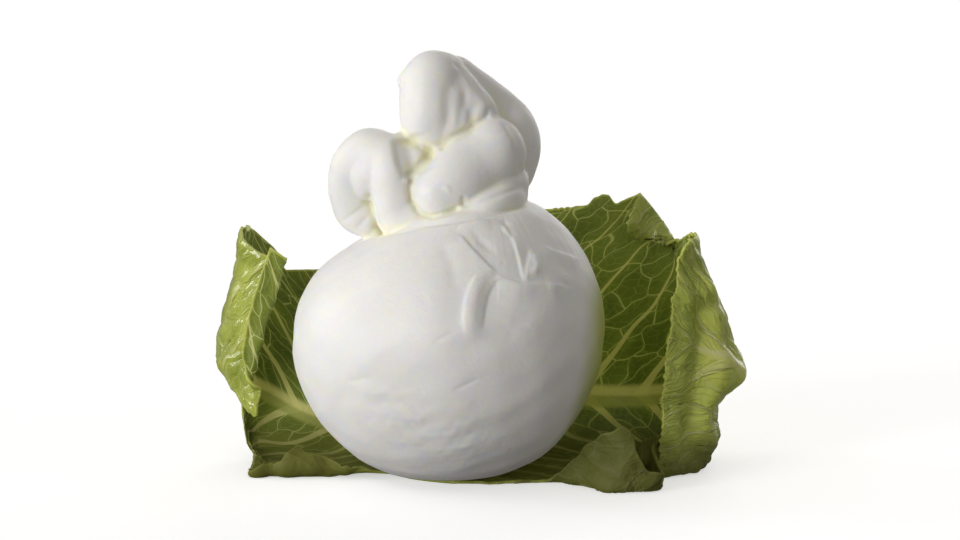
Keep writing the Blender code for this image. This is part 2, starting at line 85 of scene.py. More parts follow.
def through(stations: Sequence[Sequence[float]], x: Array) -> Array:
    """A smooth curve through stations that never overshoots them, held level past both ends.

    Args:
        stations: rows of a position and one or more values, with the positions rising.
        x: the positions to read.

    Returns:
        The values there, with a last axis only if the stations hold several values each.
    """
    table = np.asarray(stations, float)
    knots, values = table[:, 0], table[:, 1:]
    rises = np.diff(values, axis=0) / np.diff(knots)[:, None]
    before, after = rises[:-1], rises[1:]
    alike = before * after > 0
    shared = np.where(alike, 2.0 * before * after / np.where(alike, before + after, 1.0), 0.0)
    slopes = np.concatenate([rises[:1], shared, rises[-1:]])
    x = np.clip(np.asarray(x, float), knots[0], knots[-1])
    cell = np.clip(np.searchsorted(knots, x, side="right") - 1, 0, len(knots) - 2)
    width = (knots[cell + 1] - knots[cell])[..., None]
    u = (x - knots[cell])[..., None] / width
    rise = values[cell + 1] - values[cell]
    start, end = slopes[cell] * width, slopes[cell + 1] * width
    blend = u * u * (3.0 - 2.0 * u) * rise + u * (1 - u) * ((1 - u) * start - u * end)
    return (values[cell] + blend)[..., 0] if values.shape[1] == 1 else values[cell] + blend


def through_spots(spots: Table, count: int) -> Array:
    """That many spots, evenly numbered, on a smooth curve through a table's rows."""
    numbered = [(i, *spot) for i, spot in enumerate(spots)]
    return through(numbered, np.linspace(0, len(spots) - 1, count))


def swells(places: Array, lengths: Pair, count: int, seed: int) -> Array:
    """A gentle seeded unevenness.

    Args:
        places: points, with any number of coordinates on the last axis.
        lengths: the shortest and the longest wave, in the points' units.
        count: how many waves are added up.
        seed: picks the waves.

    Returns:
        Values between about -1 and 1.
    """
    rng = np.random.default_rng(seed)
    total = np.zeros(places.shape[:-1])
    for _ in range(count):
        way = rng.normal(size=places.shape[-1])
        way *= math.tau / rng.uniform(*lengths) / np.linalg.norm(way)
        total += np.sin(places @ way + rng.uniform(0.0, math.tau))
    return total / math.sqrt(count)


def beside_line(line: Table, spots: Array) -> tuple[Array, Array, Array]:
    """Where spots lie beside a line of straight pieces.

    Args:
        line: the line's corners, as (x, y).
        spots: an (n, 2) array.

    Returns:
        The distance to the line, the share of its length where it is nearest, and 1 on its left or -1.
    """
    corners = np.array(line, float)
    lengths = np.linalg.norm(np.diff(corners, axis=0), axis=1)
    starts = np.concatenate([[0.0], np.cumsum(lengths)])
    nearest = np.full(len(spots), np.inf)
    share = np.zeros(len(spots))
    side = np.ones(len(spots))
    for i, (start, end) in enumerate(zip(corners, corners[1:])):
        way = end - start
        part = np.clip(((spots - start) @ way) / (way @ way), 0.0, 1.0)
        distance = np.linalg.norm(spots - start - part[:, None] * way, axis=1)
        closer = distance < nearest
        nearest = np.where(closer, distance, nearest)
        share = np.where(closer, (starts[i] + part * lengths[i]) / starts[-1], share)
        left = np.sign(way[0] * (spots[:, 1] - start[1]) - way[1] * (spots[:, 0] - start[0]))
        side = np.where(closer, np.where(left == 0, 1.0, left), side)
    return nearest, share, side


# ---- Blender by hand ----


def added(operator: Callable, **settings: object) -> Object:
    """What an operator adds, with everything else deselected.

    Args:
        operator: an operator of bpy.ops that adds an object.
        settings: what it is given.

    Returns:
        The new object.
    """
    bpy.ops.object.select_all(action="DESELECT")
    operator(**settings)
    return bpy.context.object


def select_only(obj: Object) -> None:
    """Selects one object alone and makes it active.

    Args:
        obj: the object.
    """
    bpy.ops.object.select_all(action="DESELECT")
    obj.select_set(True)
    bpy.context.view_layer.objects.active = obj


def apply_modifier(obj: Object, kind: str, **settings: object) -> None:
    """Adds a modifier with those settings and applies it.

    Args:
        obj: the object to change.
        kind: the modifier's Blender type.
        settings: its properties.
    """
    select_only(obj)
    modifier = obj.modifiers.new(kind.lower(), kind)
    for name, value in settings.items():
        setattr(modifier, name, value)
    bpy.ops.object.modifier_apply(modifier=modifier.name)


def read_points(mesh: Mesh, what: str = "co") -> Array:
    """The places (co) or normals of a mesh's vertices, as rows.

    Args:
        mesh: the mesh to read.
        what: co or normal.

    Returns:
        An (n, 3) array.
    """
    flat = np.empty(len(mesh.vertices) * 3)
    mesh.vertices.foreach_get(what, flat)
    return flat.reshape(-1, 3)


def write_points(mesh: Mesh, points: Array) -> None:
    """Moves a mesh's vertices to those places."""
    mesh.vertices.foreach_set("co", np.ascontiguousarray(points, float).ravel())
    mesh.update()


def write_values(mesh: Mesh, name: str, values: Array) -> None:
    """Keeps one number or one vector per vertex as a named attribute.

    Args:
        mesh: the mesh to mark.
        name: the attribute's name.
        values: a row for each vertex.
    """
    kind, item = ("FLOAT", "value") if values.ndim == 1 else ("FLOAT_VECTOR", "vector")
    layer = mesh.attributes.new(name, kind, "POINT")
    layer.data.foreach_set(item, np.ascontiguousarray(values, np.float32).ravel())


def softened(mesh: Mesh, values: Array, rounds: int) -> Array:
    """Each vertex's value averaged with its neighbours' again and again.

    Args:
        mesh: the mesh that joins the vertices.
        values: one number for each vertex.
        rounds: how often.

    Returns:
        The softened numbers.
    """
    pairs = np.empty(len(mesh.edges) * 2, np.int64)
    mesh.edges.foreach_get("vertices", pairs)
    first, second = pairs[0::2], pairs[1::2]
    size = len(values)
    count = np.bincount(pairs, minlength=size) + 1.0
    for _ in range(rounds):
        gathered = np.bincount(first, values[second], size) + np.bincount(second, values[first], size)
        values = (values + gathered) / count
    return values


def count_triangles(mesh: Mesh) -> int:
    """How many triangles a mesh's faces make."""
    return sum(len(polygon.vertices) - 2 for polygon in mesh.polygons)


def add_piece(obj: Object, name: str) -> None:
    """Smooths a finished piece, names it, hangs it on the body and lets it replace its solid.

    Args:
        obj: the finished piece.
        name: the solid that it replaces.
    """
    select_only(obj)
    bpy.ops.object.shade_smooth()
    obj.name = obj.data.name = f"{name}_look"
    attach(obj, BODY)
    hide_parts(name)
    log.info("%s: %d triangles", obj.name, count_triangles(obj.data))


# ---- shader sockets ----


class Signal:
    """One output of a node. Arithmetic on it adds Math nodes beside that one."""

    def __init__(self, nodes: "Nodes", socket: bpy.types.NodeSocket | None) -> None:
        """Keeps the socket and the nodes that it belongs to."""
        self.nodes = nodes
        self.socket = socket

    def math(self, operation: str, *terms: "Signal | float") -> "Signal":
        """A Math node of those terms."""
        return self.nodes.add("ShaderNodeMath", {"operation": operation}, dict(enumerate(terms)))

    def __add__(self, other: "Signal | float") -> "Signal":
        """self + other."""
        return self.math("ADD", self, other)

    def __sub__(self, other: "Signal | float") -> "Signal":
        """self - other."""
        return self.math("SUBTRACT", self, other)

    def __rsub__(self, other: float) -> "Signal":
        """other - self."""
        return self.math("SUBTRACT", other, self)

    def __mul__(self, other: "Signal | float") -> "Signal":
        """self * other."""
        return self.math("MULTIPLY", self, other)

    __radd__, __rmul__ = __add__, __mul__

    def __abs__(self) -> "Signal":
        """abs(self)."""
        return self.math("ABSOLUTE", self)

    def at_most(self, other: "Signal | float") -> "Signal":
        """The smaller of the two."""
        return self.math("MINIMUM", self, other)

    def at_least(self, other: "Signal | float") -> "Signal":
        """The larger of the two."""
        return self.math("MAXIMUM", self, other)

    def rise(self, start: "Signal | float", end: "Signal | float") -> "Signal":
        """A smooth 0 to 1 as this goes from start to end. The start may be the larger."""
        fields = {"Value": self, "From Min": start, "From Max": end}
        return self.nodes.add("ShaderNodeMapRange", {"interpolation_type": "SMOOTHSTEP"}, fields)


class Nodes:
    """The nodes of one new material, world or node group."""

    def __init__(self, owner: bpy.types.Material | bpy.types.World | bpy.types.NodeTree) -> None:
        """Starts the owner's nodes afresh.

        Args:
            owner: a new material, world or node group.
        """
        self.owner = self.tree = owner
        if not isinstance(owner, bpy.types.NodeTree):
            owner.use_nodes = True
            self.tree = owner.node_tree
            self.tree.nodes.clear()

    def add(
        self, kind: str, settings: dict[str, object], inputs: dict[str | int, object], output: int | str = 0
    ) -> Signal:
        """Adds a node.

        Args:
            kind: the node's Blender type.
            settings: its properties, which are set first.
            inputs: a number, colour, vector or Signal for each named or numbered socket.
            output: which of its sockets comes back.

        Returns:
            The output as a Signal.
        """
        node = self.tree.nodes.new(kind)
        for name, value in settings.items():
            setattr(node, name, value)
        for name, value in inputs.items():
            socket = node.inputs[name]
            if isinstance(value, Signal):
                self.tree.links.new(value.socket, socket)
            else:
                socket.default_value = (*value, 1.0) if socket.type == "RGBA" else value
        return Signal(self, node.outputs[output] if len(node.outputs) else None)

    def mix(self, low: Signal | Colour, high: Signal | Colour, share: Signal | float) -> Signal:
        """The colour that goes from low to high as the share goes from 0 to 1."""
        return self.add("ShaderNodeMix", {"data_type": "RGBA"}, {0: share, 6: low, 7: high}, output=2)

    def value(self, name: str, output: str = "Fac") -> Signal:
        """A number kept in the mesh, or with the output Vector a vector."""
        return self.add("ShaderNodeAttribute", {"attribute_name": name}, {}, output)

    def place(self, *scale: float) -> Signal:
        """Object coordinates, multiplied by the three numbers."""
        spot = self.add("ShaderNodeTexCoord", {}, {}, "Object")
        return self.add("ShaderNodeMapping", {}, {"Vector": spot, "Scale": scale})

    def noise(self, where: Signal, scale: float, detail: float, warp: float = 0.0) -> Signal:
        """Soft noise between 0 and 1."""
        fields = {"Vector": where, "Scale": scale, "Detail": detail, "Distortion": warp}
        return self.add("ShaderNodeTexNoise", {}, fields)

    def cell_edges(self, where: Signal, scale: float) -> Signal:
        """How far a place is from the nearest edge of irregular flat cells, in cell sizes."""
        settings = {"feature": "DISTANCE_TO_EDGE", "voronoi_dimensions": "2D"}
        return self.add("ShaderNodeTexVoronoi", settings, {"Vector": where, "Scale": scale})

    def bump(self, height: Signal, distance: float) -> Signal:
        """A normal that shows the height."""
        return self.add("ShaderNodeBump", {}, {"Height": height, "Distance": distance, "Strength": 1.0})

    def finish(self, surface: Signal, kind: str = "Material") -> bpy.types.Material | bpy.types.World:
        """Ends the material, or the World, with that surface."""
        self.add(f"ShaderNodeOutput{kind}", {}, {"Surface": surface})
        return self.owner


# ---- the front view ----


@dataclass(frozen=True)
class FrontView:
    """Where the front is seen from, in the part's own millimetres, and the plane that marks are drawn on."""

    middle: Triple = (8.556, 0.0, 58.673)
    distance: float = 736.0
    down: float = math.radians(7.0)
    lens: float = 100.0
    sensor: float = 36.0
    grazing: float = 0.35  # the cosine below which a surface counts as turning away

    @property
    def ahead(self) -> Array:
        """The direction of looking."""
        return np.array((0.0, math.cos(self.down), -math.sin(self.down)))

    @property
    def eye(self) -> Array:
        """Where it is seen from."""
        return np.array(self.middle) - self.ahead * self.distance

    def on_plane(self, points: Array) -> Array:
        """(x, z) of points as they are seen against the upright plane through the middle.

        Args:
            points: an (n, 3) array in millimetres.

        Returns:
            An (n, 2) array.
        """
        away = points - self.eye
        depth = away @ self.ahead
        above = away @ np.array((0.0, math.sin(self.down), math.cos(self.down)))
        x = self.middle[0] + self.distance * away[:, 0] / depth
        z = self.middle[2] + self.distance * above / depth / math.cos(self.down)
        return np.stack([x, z], axis=1)

    def facing(self, points: Array, normals: Array) -> Array:
        """1 where the surface faces the view, falling to 0 where it is edge-on or turned away."""
        return ease((normals * unit(self.eye - points)).sum(1) / self.grazing)

    def build(self, shift: Array) -> None:
        """Adds the camera, with the view moved by so many millimetres.

        Args:
            shift: millimetres from the spot under the ball to the part's own origin.
        """
        turn = (math.pi / 2 - self.down, 0.0, 0.0)
        camera = added(bpy.ops.object.camera_add, location=tuple((self.eye + shift) * MM), rotation=turn)
        camera.data.lens = self.lens
        camera.data.sensor_width = self.sensor
        bpy.context.scene.camera = camera


# ---- curd ----


@dataclass(frozen=True)
class Mark:
    """A mark in the curd along a line of (x, z) millimetres on the front view's plane.

    It is a rounded ridge, or a groove if its height is below 0. With a reach, it is the edge of a skin that
    lies over on the line's left and stays raised about so far.
    """

    width: float
    height: float
    line: Table
    reach: float = 0.0
    taper: float = 0.25  # the share of the line over which it fades at each end

    def raised(self, spots: Array) -> Array:
        """How far each spot of the plane is raised, in millimetres.

        Args:
            spots: an (n, 2) array.

        Returns:
            One height for each spot.
        """
        distance, share, side = beside_line(self.line, spots)
        if self.reach:
            signed = distance * side
            rise = ease(signed / self.width + 0.5) * np.exp(-np.maximum(signed, 0.0) / self.reach)
            rise *= ease(2.0 - distance / self.reach)
        else:
            rise = bell(distance / self.width)
        return self.height * rise * ease(share / self.taper) * ease((1.0 - share) / self.taper)


BALL_MARKS = (
    # The flap that hangs like a comma below the neck, and the fold that runs off it to the right.
    Mark(2.5, 0.8, ((13, 59.6), (9.6, 57.8), (7.6, 54.4), (6.6, 50.8), (6, 46.6), (5.8, 38)), taper=0.38),
    Mark(
        0.7, 0.5, ((10.6, 60.4), (7, 58), (5, 54.4), (4.1, 50.3), (3.7, 46.2), (4.6, 40)), reach=3,
        taper=0.35,
    ),
    Mark(1.2, -0.4, ((17.4, 58.4), (13, 57), (10.8, 53.1), (9.7, 48.2), (8.9, 42)), reach=4.5),
    Mark(
        1.1, 0.45, ((36, 54.4), (30.5, 55.8), (25.1, 56.4), (19.6, 56.2), (14.1, 58.4), (9.9, 57.3)),
        reach=5,
    ),
    # The pleat that comes down to a point at the right.
    Mark(
        0.8, 0.55, ((13.6, 72.6), (16.8, 69.2), (18.4, 65.6), (19.6, 60.9), (20.8, 56)), reach=3.4,
        taper=0.15,
    ),
    Mark(0.8, -0.45, ((20.6, 56), (21.4, 61.5), (22.6, 66.8)), reach=3),
    Mark(1, 0.5, ((23.5, 65.1), (24, 60.9), (22.9, 58.1))),
    # Pleats that fan out from the neck.
    Mark(0.9, 0.55, ((14, 59), (10.6, 61.6), (6, 66.4), (2.7, 70.4)), reach=4.5, taper=0.2),
    Mark(1, -0.3, ((6.3, 72), (8.6, 68.1), (13.2, 64.2))),
    Mark(2, -0.28, ((-2.5, 68.4), (0.8, 61.5), (1.7, 53.1))),
    Mark(0.8, -0.35, ((14.1, 74), (16.3, 72), (17.9, 68.1))),
    Mark(1.2, 0.35, ((37.5, 62.6), (30.6, 64.8), (25.1, 67)), reach=5),
    Mark(2.2, 0.25, ((26.5, 54.5), (33.4, 58.7))),
    # Scratches.
    Mark(0.5, -0.18, ((-5.2, 39.2), (1.7, 43.1))),
    Mark(0.5, -0.22, ((0.3, 25.9), (8.6, 29.8))),
    Mark(0.6, -0.15, ((-28.7, 28.6), (-20.4, 30.3))),
    # The rim of the ball's skin under the knot.
    Mark(0.8, 0.55, ((12, 73.9), (9.9, 73.7), (5.8, 73.1), (3.6, 72.6), (1.7, 70.9)), reach=2.5),
)
SEAM_MARKS = (
    # Where the knot rests on the ball.
    Mark(
        0.7,
        -0.7,
        (
            (-22.9, 69), (-19, 69.5), (-13.5, 70.6), (-6.6, 72.6), (0.3, 73.4), (7.2, 74.5), (14.1, 75.9),
            (21.3, 77.6),
        ),
        taper=0.05,
    ),
)
KNOT_MARKS = (
    # Creases between the knot's lobes.
    Mark(0.6, -0.3, ((0.8, 117.9), (5.2, 113.7), (10.5, 107.3), (14.1, 101.8)), taper=0.1),
    Mark(0.6, -0.25, ((14.1, 101.8), (17.4, 96.2), (19.3, 90.7), (19.9, 83.7)), taper=0.15),
    Mark(0.8, -0.9, ((11.3, 105.9), (10.5, 102.6), (5.8, 99.3), (0.8, 96.8), (-3.3, 93.2)), taper=0.1),
    Mark(0.8, -0.8, ((-14.1, 99.3), (-10.8, 96.5), (-7.5, 94.5), (-4.1, 93.2)), taper=0.1),
    Mark(
        0.8, -0.8, ((-4.1, 93.2), (-8, 89.8), (-10.5, 87), (-11.3, 83.7), (-10.8, 79.5), (-8, 75.9)),
        taper=0.1,
    ),
    Mark(0.8, -0.8, ((-10.2, 78.1), (-8, 75.6), (-4.7, 74.5), (-0.6, 75.6), (3.3, 77.3)), taper=0.1),
    Mark(0.6, -0.5, ((3.9, 80.9), (3.9, 77.3))),
    Mark(0.6, 0.35, ((-1.6, 83.6), (-0.4, 82.6), (0.4, 81.4))),
    Mark(0.5, 0.6, ((-12, 85.8), (-11.8, 83.2))),
    Mark(0.7, -0.45, ((3.3, 77.3), (8.6, 78.7), (14.1, 80.9), (20.1, 82.9)), taper=0.1),
    # The flat facet between the loop's limb and the front lobe, and the limb's left side.
    Mark(3, -1.5, ((-15.4, 97), (-15, 95), (-14.2, 89.8), (-12.2, 84.6)), reach=7, taper=0.12),
    Mark(0.9, -1.2, ((-22.9, 81.5), (-22.1, 78.1), (-21, 74.5), (-19.3, 71.5), (-17.4, 69.5)), taper=0.15),
    # Pleats of the loop and the crown.
    Mark(0.7, -0.4, ((-22.9, 78.1), (-27.3, 74.8), (-30.1, 73.1))),
    Mark(0.6, -0.35, ((-21.8, 75.4), (-25.9, 70.9))),
    Mark(0.6, -0.3, ((-20.1, 72), (-22.4, 69.2))),
    Mark(1.6, -0.3, ((-0.6, 112.9), (-0.8, 105.9), (0.3, 98.2))),
    Mark(1.2, -0.3, ((5.2, 111), (3.6, 104.6), (2.5, 98.2))),
    Mark(1.2, -0.25, ((8.6, 108.2), (6.3, 103.7), (5.2, 99.8))),
)


@dataclass(frozen=True)
class CurdFinish:
    """Fresh stretched curd: moist, milky and faintly fibrous, creamy yellow-green with painted shade deep in
    its creases.
    """

    white: Colour = (0.895, 0.89, 0.88)
    warm: Colour = (0.885, 0.865, 0.835)
    # crease and depth: the curd's own cream tint in its creases, deepening to painted olive shade where they
    # are deepest
    crease: Colour = (0.88, 0.865, 0.72)
    depth: Colour = (0.66, 0.61, 0.24)
    leaf_bounce_paint: Colour = (0.44, 0.49, 0.04)  # painted reflection: the green light that the leaf beside it throws back onto the wet skin
    roughness: float = 0.46
    soak: Colour = (1.0, 0.8, 0.45)
    soak_depth: float = 0.0012
    relief: float = 0.00012

    def build(self) -> bpy.types.Material:
        """Makes the material.

        Returns:
            The material.
        """
        nodes = Nodes(bpy.data.materials.new("curd"))
        place, upright = nodes.place(1.0, 1.0, 1.0), nodes.place(1.0, 1.0, 0.16)
        crease, flow = nodes.value("crease"), nodes.value("flow", "Vector")
        mottle = nodes.noise(place, 55.0, 3.0, 0.6).rise(0.35, 0.72)
        tint = nodes.mix(self.white, self.warm, mottle * 0.7)
        # Painted shade: the creases turn cream, then darker olive where they lie deepest.
        tint = nodes.mix(tint, self.crease, crease.rise(0.03, 0.35) * 0.9)
        tint = nodes.mix(tint, self.depth, crease.rise(0.34, 0.85) * 0.8)
        # Painted reflection: the green of the leaf beside the ball, painted on its right side.
        tint = nodes.mix(tint, self.leaf_bounce_paint, nodes.value("leaf_bounce_paint"))
        fibres, folds = nodes.noise(flow, 0.8, 3.0, 1.2), nodes.noise(flow, 0.22, 2.0, 1.5)
        pulled = (fibres * 0.3 + folds * 2.0) * nodes.value("drawn")
        lumps, grain = nodes.noise(place, 330.0, 3.0, 0.5), nodes.noise(place, 1500.0, 2.0)
        dimples = nodes.noise(place, 240.0, 2.0).rise(0.42, 0.18)
        streaks = nodes.noise(upright, 420.0, 2.0).rise(0.3, 0.75)
        fields = {
            "Base Color": tint,
            "Roughness": self.roughness + streaks * 0.12 - dimples * 0.05,
            "Normal": nodes.bump(pulled + lumps * 0.7 + grain * 0.2 - dimples * 0.6, self.relief),
            "Subsurface Weight": 1.0,
            "Subsurface Radius": self.soak,
            "Subsurface Scale": self.soak_depth,
            "Subsurface Anisotropy": 0.0,
            "IOR": 1.4,
            "Coat Weight": 0.05,
            "Coat Roughness": 0.25,
        }
        return nodes.finish(nodes.add("ShaderNodeBsdfPrincipled", {}, fields))


@dataclass(frozen=True)
class Press:
    """Where the ball bulges, or is pressed in if its share is below 0."""

    share: float  # of the radius
    toward_deg: float  # seen from the front, up from the right
    spread_deg: float

    def read(self, ways: Array) -> Array:
        """By which share of the radius it changes the ball in each direction from its centre.

        Args:
            ways: an (n, 3) array of unit vectors.

        Returns:
            One share for each.
        """
        toward = math.radians(self.toward_deg)
        axis = np.array((math.cos(toward), 0.0, math.sin(toward)))
        return self.share * bell(np.degrees(np.arccos(np.clip(ways @ axis, -1.0, 1.0))) / self.spread_deg)


@dataclass(frozen=True)
class Cheese:
    """The ball of curd, its neck and the knot, in millimetres from the spot on the floor under the ball."""

    view: FrontView
    finish: CurdFinish
    ball_radius: float = 43.3
    ball_centre: Triple = (-0.2, 0.0, 43.4)
    presses: tuple[Press, ...] = (Press(-0.27, 115.0, 39.0), Press(0.018, 216.0, 34.0))
    rest_height: float = 2.7
    settle_depth: float = 1.2
    smooth_foot: float = 6.0  # how far above the rest the unevenness sets in
    neck_spot: Pair = (8.0, 1.0)
    top: Pair = (50.0, 68.0)  # the heights between which creases and streaks set in
    leaf_way: Triple = (0.968, 0.206, -0.139)  # from the ball's centre to the leaf that it reflects
    # How strongly the leaf's green reflection is painted on the ball.
    leaf_bounce_most: float = 0.85
    leaf_bounce_cosines: Pair = (0.67, 0.23)  # of the angle to leaf_way: where the painted green reflection sets in, and over how much
    leaf_bounce_heights: Pair = (66.0, 18.0)  # where the painted green reflection ends, and over how much it fades
    drawn_heights: Pair = (80.0, 8.0)  # where the streaks are gentlest, and over how much they fade
    beads_per_station: int = 9
    voxel: float = 0.5
    fairing: int = 10
    triangles: int = 190000
    crease_depth: float = 1.1  # how far below its smoothed self the curd lies where it is fully creased
    crease_smoothing: int = 140
    crease_softening: int = 24
    strands: tuple[Table, ...] = (  # (x, y, z, radius)
        # The neck.
        ((8, 1, 62, 20), (9.4, 0.5, 68.5, 14.5), (10.4, 0, 75.5, 10.4), (11, 0, 84, 9)),
        # The loop at the left and what fills it.
        (
            (-14.6, -8, 75.4, 5.2), (-14.6, -11, 80.5, 6.2), (-14.9, -11, 86.5, 6.6), (-16.2, -9, 91.6, 6.7),
            (-20.4, -6, 92.6, 7.2), (-25, -3, 88.6, 7), (-26.6, -1, 83.2, 6.2), (-26.2, 1, 77.4, 5.9),
            (-22.4, 2, 73.8, 5.2), (-16, 3, 73.2, 4.8),
        ),
        ((-21, 0, 84, 5.5), (-21, 0, 79, 5), (-19, 0, 76, 4.5)),
        # The lobe in front.
        (
            (9.8, -4.6, 100.6, 3), (10.8, -4.8, 96.8, 6.6), (10.8, -5.2, 92.6, 10), (6.8, -7, 88.9, 10.6),
            (1.8, -11, 86, 9.6), (-2.6, -13.8, 82.8, 7.1),
        ),
        # The crown, its flank and the lobe behind it.
        (
            (-4.6, -4, 93, 5.6), (-5.2, -5, 98, 7.4), (-4.9, -5, 102.5, 8.7), (-4.3, -4, 107, 9.3),
            (-4.4, -3, 111.3, 8.8), (-2, -1, 113.4, 6.6),
        ),
        (
            (-0.6, -2, 110.6, 7.2), (3.2, -2.8, 106.2, 7.6), (6.6, -2.8, 101.6, 7.6), (6.6, -3, 96.4, 7.6),
            (2, -4, 93, 7),
        ),
        (
            (1.6, 4, 111.2, 7.4), (7.5, 6, 105.8, 8.2), (11.8, 7, 100.4, 9.8), (14.6, 7, 95, 11.1),
            (14.2, 6, 88.8, 10), (12, 5, 82.6, 7.6),
        ),
        # The collar round the neck, and the knot's heart.
        (
            (-15.1, -8, 75.6, 3.8), (-7.7, -12, 75.4, 3.8), (0.5, -14, 76.2, 4.2), (8.6, -14.5, 78.4, 5),
            (14.8, -10, 80.8, 5), (17.6, 0, 81.4, 4.3), (15, 10, 80.6, 4.9), (8.6, 15, 79.4, 5.1),
            (-2.7, 14, 77.3, 5.1), (-12.3, 6, 75.8, 4.6),
        ),
        ((-16, 0, 82, 6), (-6, -1, 86, 10), (6, 0, 88, 12)),
        # Fills where lobes run into each other.
        ((-2.4, -3.2, 110.6, 7.6), (-0.6, -4, 106, 8.2), (0.6, -4.2, 102, 8.4), (0.6, -4.6, 98, 7.6)),
        ((-14, -8, 91, 5.6), (-10.4, -7, 91.4, 5), (-8.6, -7, 89, 4.6)),
        ((-18.6, -7.6, 91, 7), (-19.8, -7, 88, 7.2), (-20.6, -5.8, 85.6, 6.2)),
        ((-14.4, -9.6, 80, 6.4), (-13.4, -10.6, 77.4, 6), (-9.6, -11.6, 76.2, 5.2), (-3, -12.4, 75.6, 4.4)),
        ((5, -9.6, 82, 6), (10.6, -8.8, 83, 6.8), (15.4, -4, 84, 6.4), (16.8, 1.5, 84.2, 5)),
        ((-12.4, -6.6, 94.4, 4.6), (-9, -9.4, 91, 4.4), (-8.4, -11, 87.4, 4), (-9.6, -11.4, 83, 3.4)),
        # Shreds at the crown's left.
        ((-11, -4, 114.6, 1.6), (-12.6, -4.4, 113.6, 1.2), (-13.8, -4.6, 112.4, 0.8)),
        ((-11.6, -5, 111.8, 1.2), (-13.4, -5.2, 111.2, 0.8)),
    )
    lumpy: Table = ((-7, 15, 10), (-17, 22, 9), (3, 13, 8), (16, 45, 8))  # (x, z, reach)
    marks: tuple[tuple[Pair, tuple[Mark, ...]], ...] = (  # each with the y between which it is cut
        ((-60.0, 60.0), BALL_MARKS), ((-40.0, -2.0), SEAM_MARKS), ((-40.0, 5.0), KNOT_MARKS),
    )

    def build_ball(self) -> Object:
        """The ball, pressed in under the knot and slumped at its lower left.

        Returns:
            The ball.
        """
        ball = added(bpy.ops.mesh.primitive_ico_sphere_add, subdivisions=7, radius=1.0)
        ways = unit(read_points(ball.data))
        size = self.ball_radius * (1.0 + sum(press.read(ways) for press in self.presses))
        write_points(ball.data, (np.array(self.ball_centre) + ways * size[:, None]) * MM)
        return ball

    def build_strands(self) -> list[Object]:
        """Overlapping beads along every strand, all copies of one.

        Returns:
            The beads.
        """
        bead = added(bpy.ops.mesh.primitive_ico_sphere_add, subdivisions=4, radius=1.0)
        beads = []
        for strand in self.strands:
            for x, y, z, radius in through_spots(strand, (len(strand) - 1) * self.beads_per_station):
                copy = bpy.data.objects.new("bead", bead.data.copy())
                place = Matrix.Translation(Vector((x, y, z)) * MM)
                copy.data.transform(place @ Matrix.Scale(radius * MM, 4))
                bpy.context.scene.collection.objects.link(copy)
                beads.append(copy)
        bpy.data.objects.remove(bead)
        return beads

    def sculpt(self, mesh: Mesh) -> None:
        """Cuts the marks into the fused curd and makes it a little uneven all over.

        Args:
            mesh: the fused curd.
        """
        points, normals = read_points(mesh) / MM, read_points(mesh, "normal")
        facing = self.view.facing(points, normals)
        spots = self.view.on_plane(points)
        rise = 0.30 * swells(points, (18.0, 40.0), 8, 5) + 0.10 * swells(points, (5.0, 12.0), 10, 6)
        for (front, back), marks in self.marks:
            within = (facing > 0) & (points[:, 1] > front) & (points[:, 1] < back)
            for mark in marks:
                margin = 3.0 * mark.width + 2.0 * mark.reach
                low, high = np.min(mark.line, axis=0) - margin, np.max(mark.line, axis=0) + margin
                near = within & ((spots > low) & (spots < high)).all(1)
                rise[near] += mark.raised(spots[near]) * facing[near]
        lumps = 0.05 * swells(points, (1.8, 5.0), 12, 17) + 0.09 * swells(points, (5.0, 12.0), 8, 18)
        for x, z, reach in self.lumpy:
            rise += np.exp(-(((spots - (x, z)) / reach) ** 2).sum(1)) * facing * lumps
        over_rest = points[:, 2] - self.rest_height
        points += normals * (rise * ease(over_rest / self.smooth_foot))[:, None]
        over = (points[:, 2] - self.rest_height) / self.settle_depth
        settled = np.where(over > 0, over * over / (1.0 + np.abs(over)), 0.0)
        points[:, 2] = self.rest_height + self.settle_depth * settled
        write_points(mesh, points * MM)

    def toward_top(self, height: Array) -> Array:
        """0 on the ball's sides, rising to 1 at its top and on the knot."""
        return ease((height - self.top[0]) / (self.top[1] - self.top[0]))

    def mark_crease_shade(self, curd: Object) -> None:
        """Keeps, for each vertex, how deep it lies in a crease: below a smoothed copy of the curd. The finish
        paints cream and shade there.

        Args:
            curd: the sculpted curd.
        """
        smooth = bpy.data.objects.new("smooth", curd.data.copy())
        bpy.context.scene.collection.objects.link(smooth)
        apply_modifier(smooth, "SMOOTH", factor=0.5, iterations=self.crease_smoothing)
        points, normals = read_points(curd.data), read_points(curd.data, "normal")
        below = ((read_points(smooth.data) - points) * normals).sum(1) / MM
        below *= self.toward_top(points[:, 2] / MM)
        creased = np.clip(below / self.crease_depth, 0.0, 1.0)
        write_values(curd.data, "crease", softened(curd.data, creased, self.crease_softening))
        bpy.data.objects.remove(smooth)

    def mark_skin_and_leaf_bounce(self, mesh: Mesh) -> None:
        """Keeps where the leaf's green reflection is painted, which way the skin was drawn to the neck, and
        how strongly.

        Args:
            mesh: the sculpted curd's mesh.
        """
        points = read_points(mesh) / MM
        height = points[:, 2]
        cosines = unit(points - np.array(self.ball_centre)) @ np.array(self.leaf_way)
        beside = ease((cosines - self.leaf_bounce_cosines[0]) / self.leaf_bounce_cosines[1])
        below_top = ease((self.leaf_bounce_heights[0] - height) / self.leaf_bounce_heights[1])
        write_values(mesh, "leaf_bounce_paint", self.leaf_bounce_most * beside * below_top)
        out = points[:, :2] - np.array(self.neck_spot)
        away = np.linalg.norm(out, axis=1, keepdims=True)
        run = away * 0.10 + height[:, None] * 0.06
        write_values(mesh, "flow", np.concatenate([out / np.maximum(away, 1.0) * 30.0, run], axis=1))
        below_knot = ease((self.drawn_heights[0] - height) / self.drawn_heights[1])
        write_values(mesh, "drawn", self.toward_top(height) * (0.25 + 0.75 * below_knot))

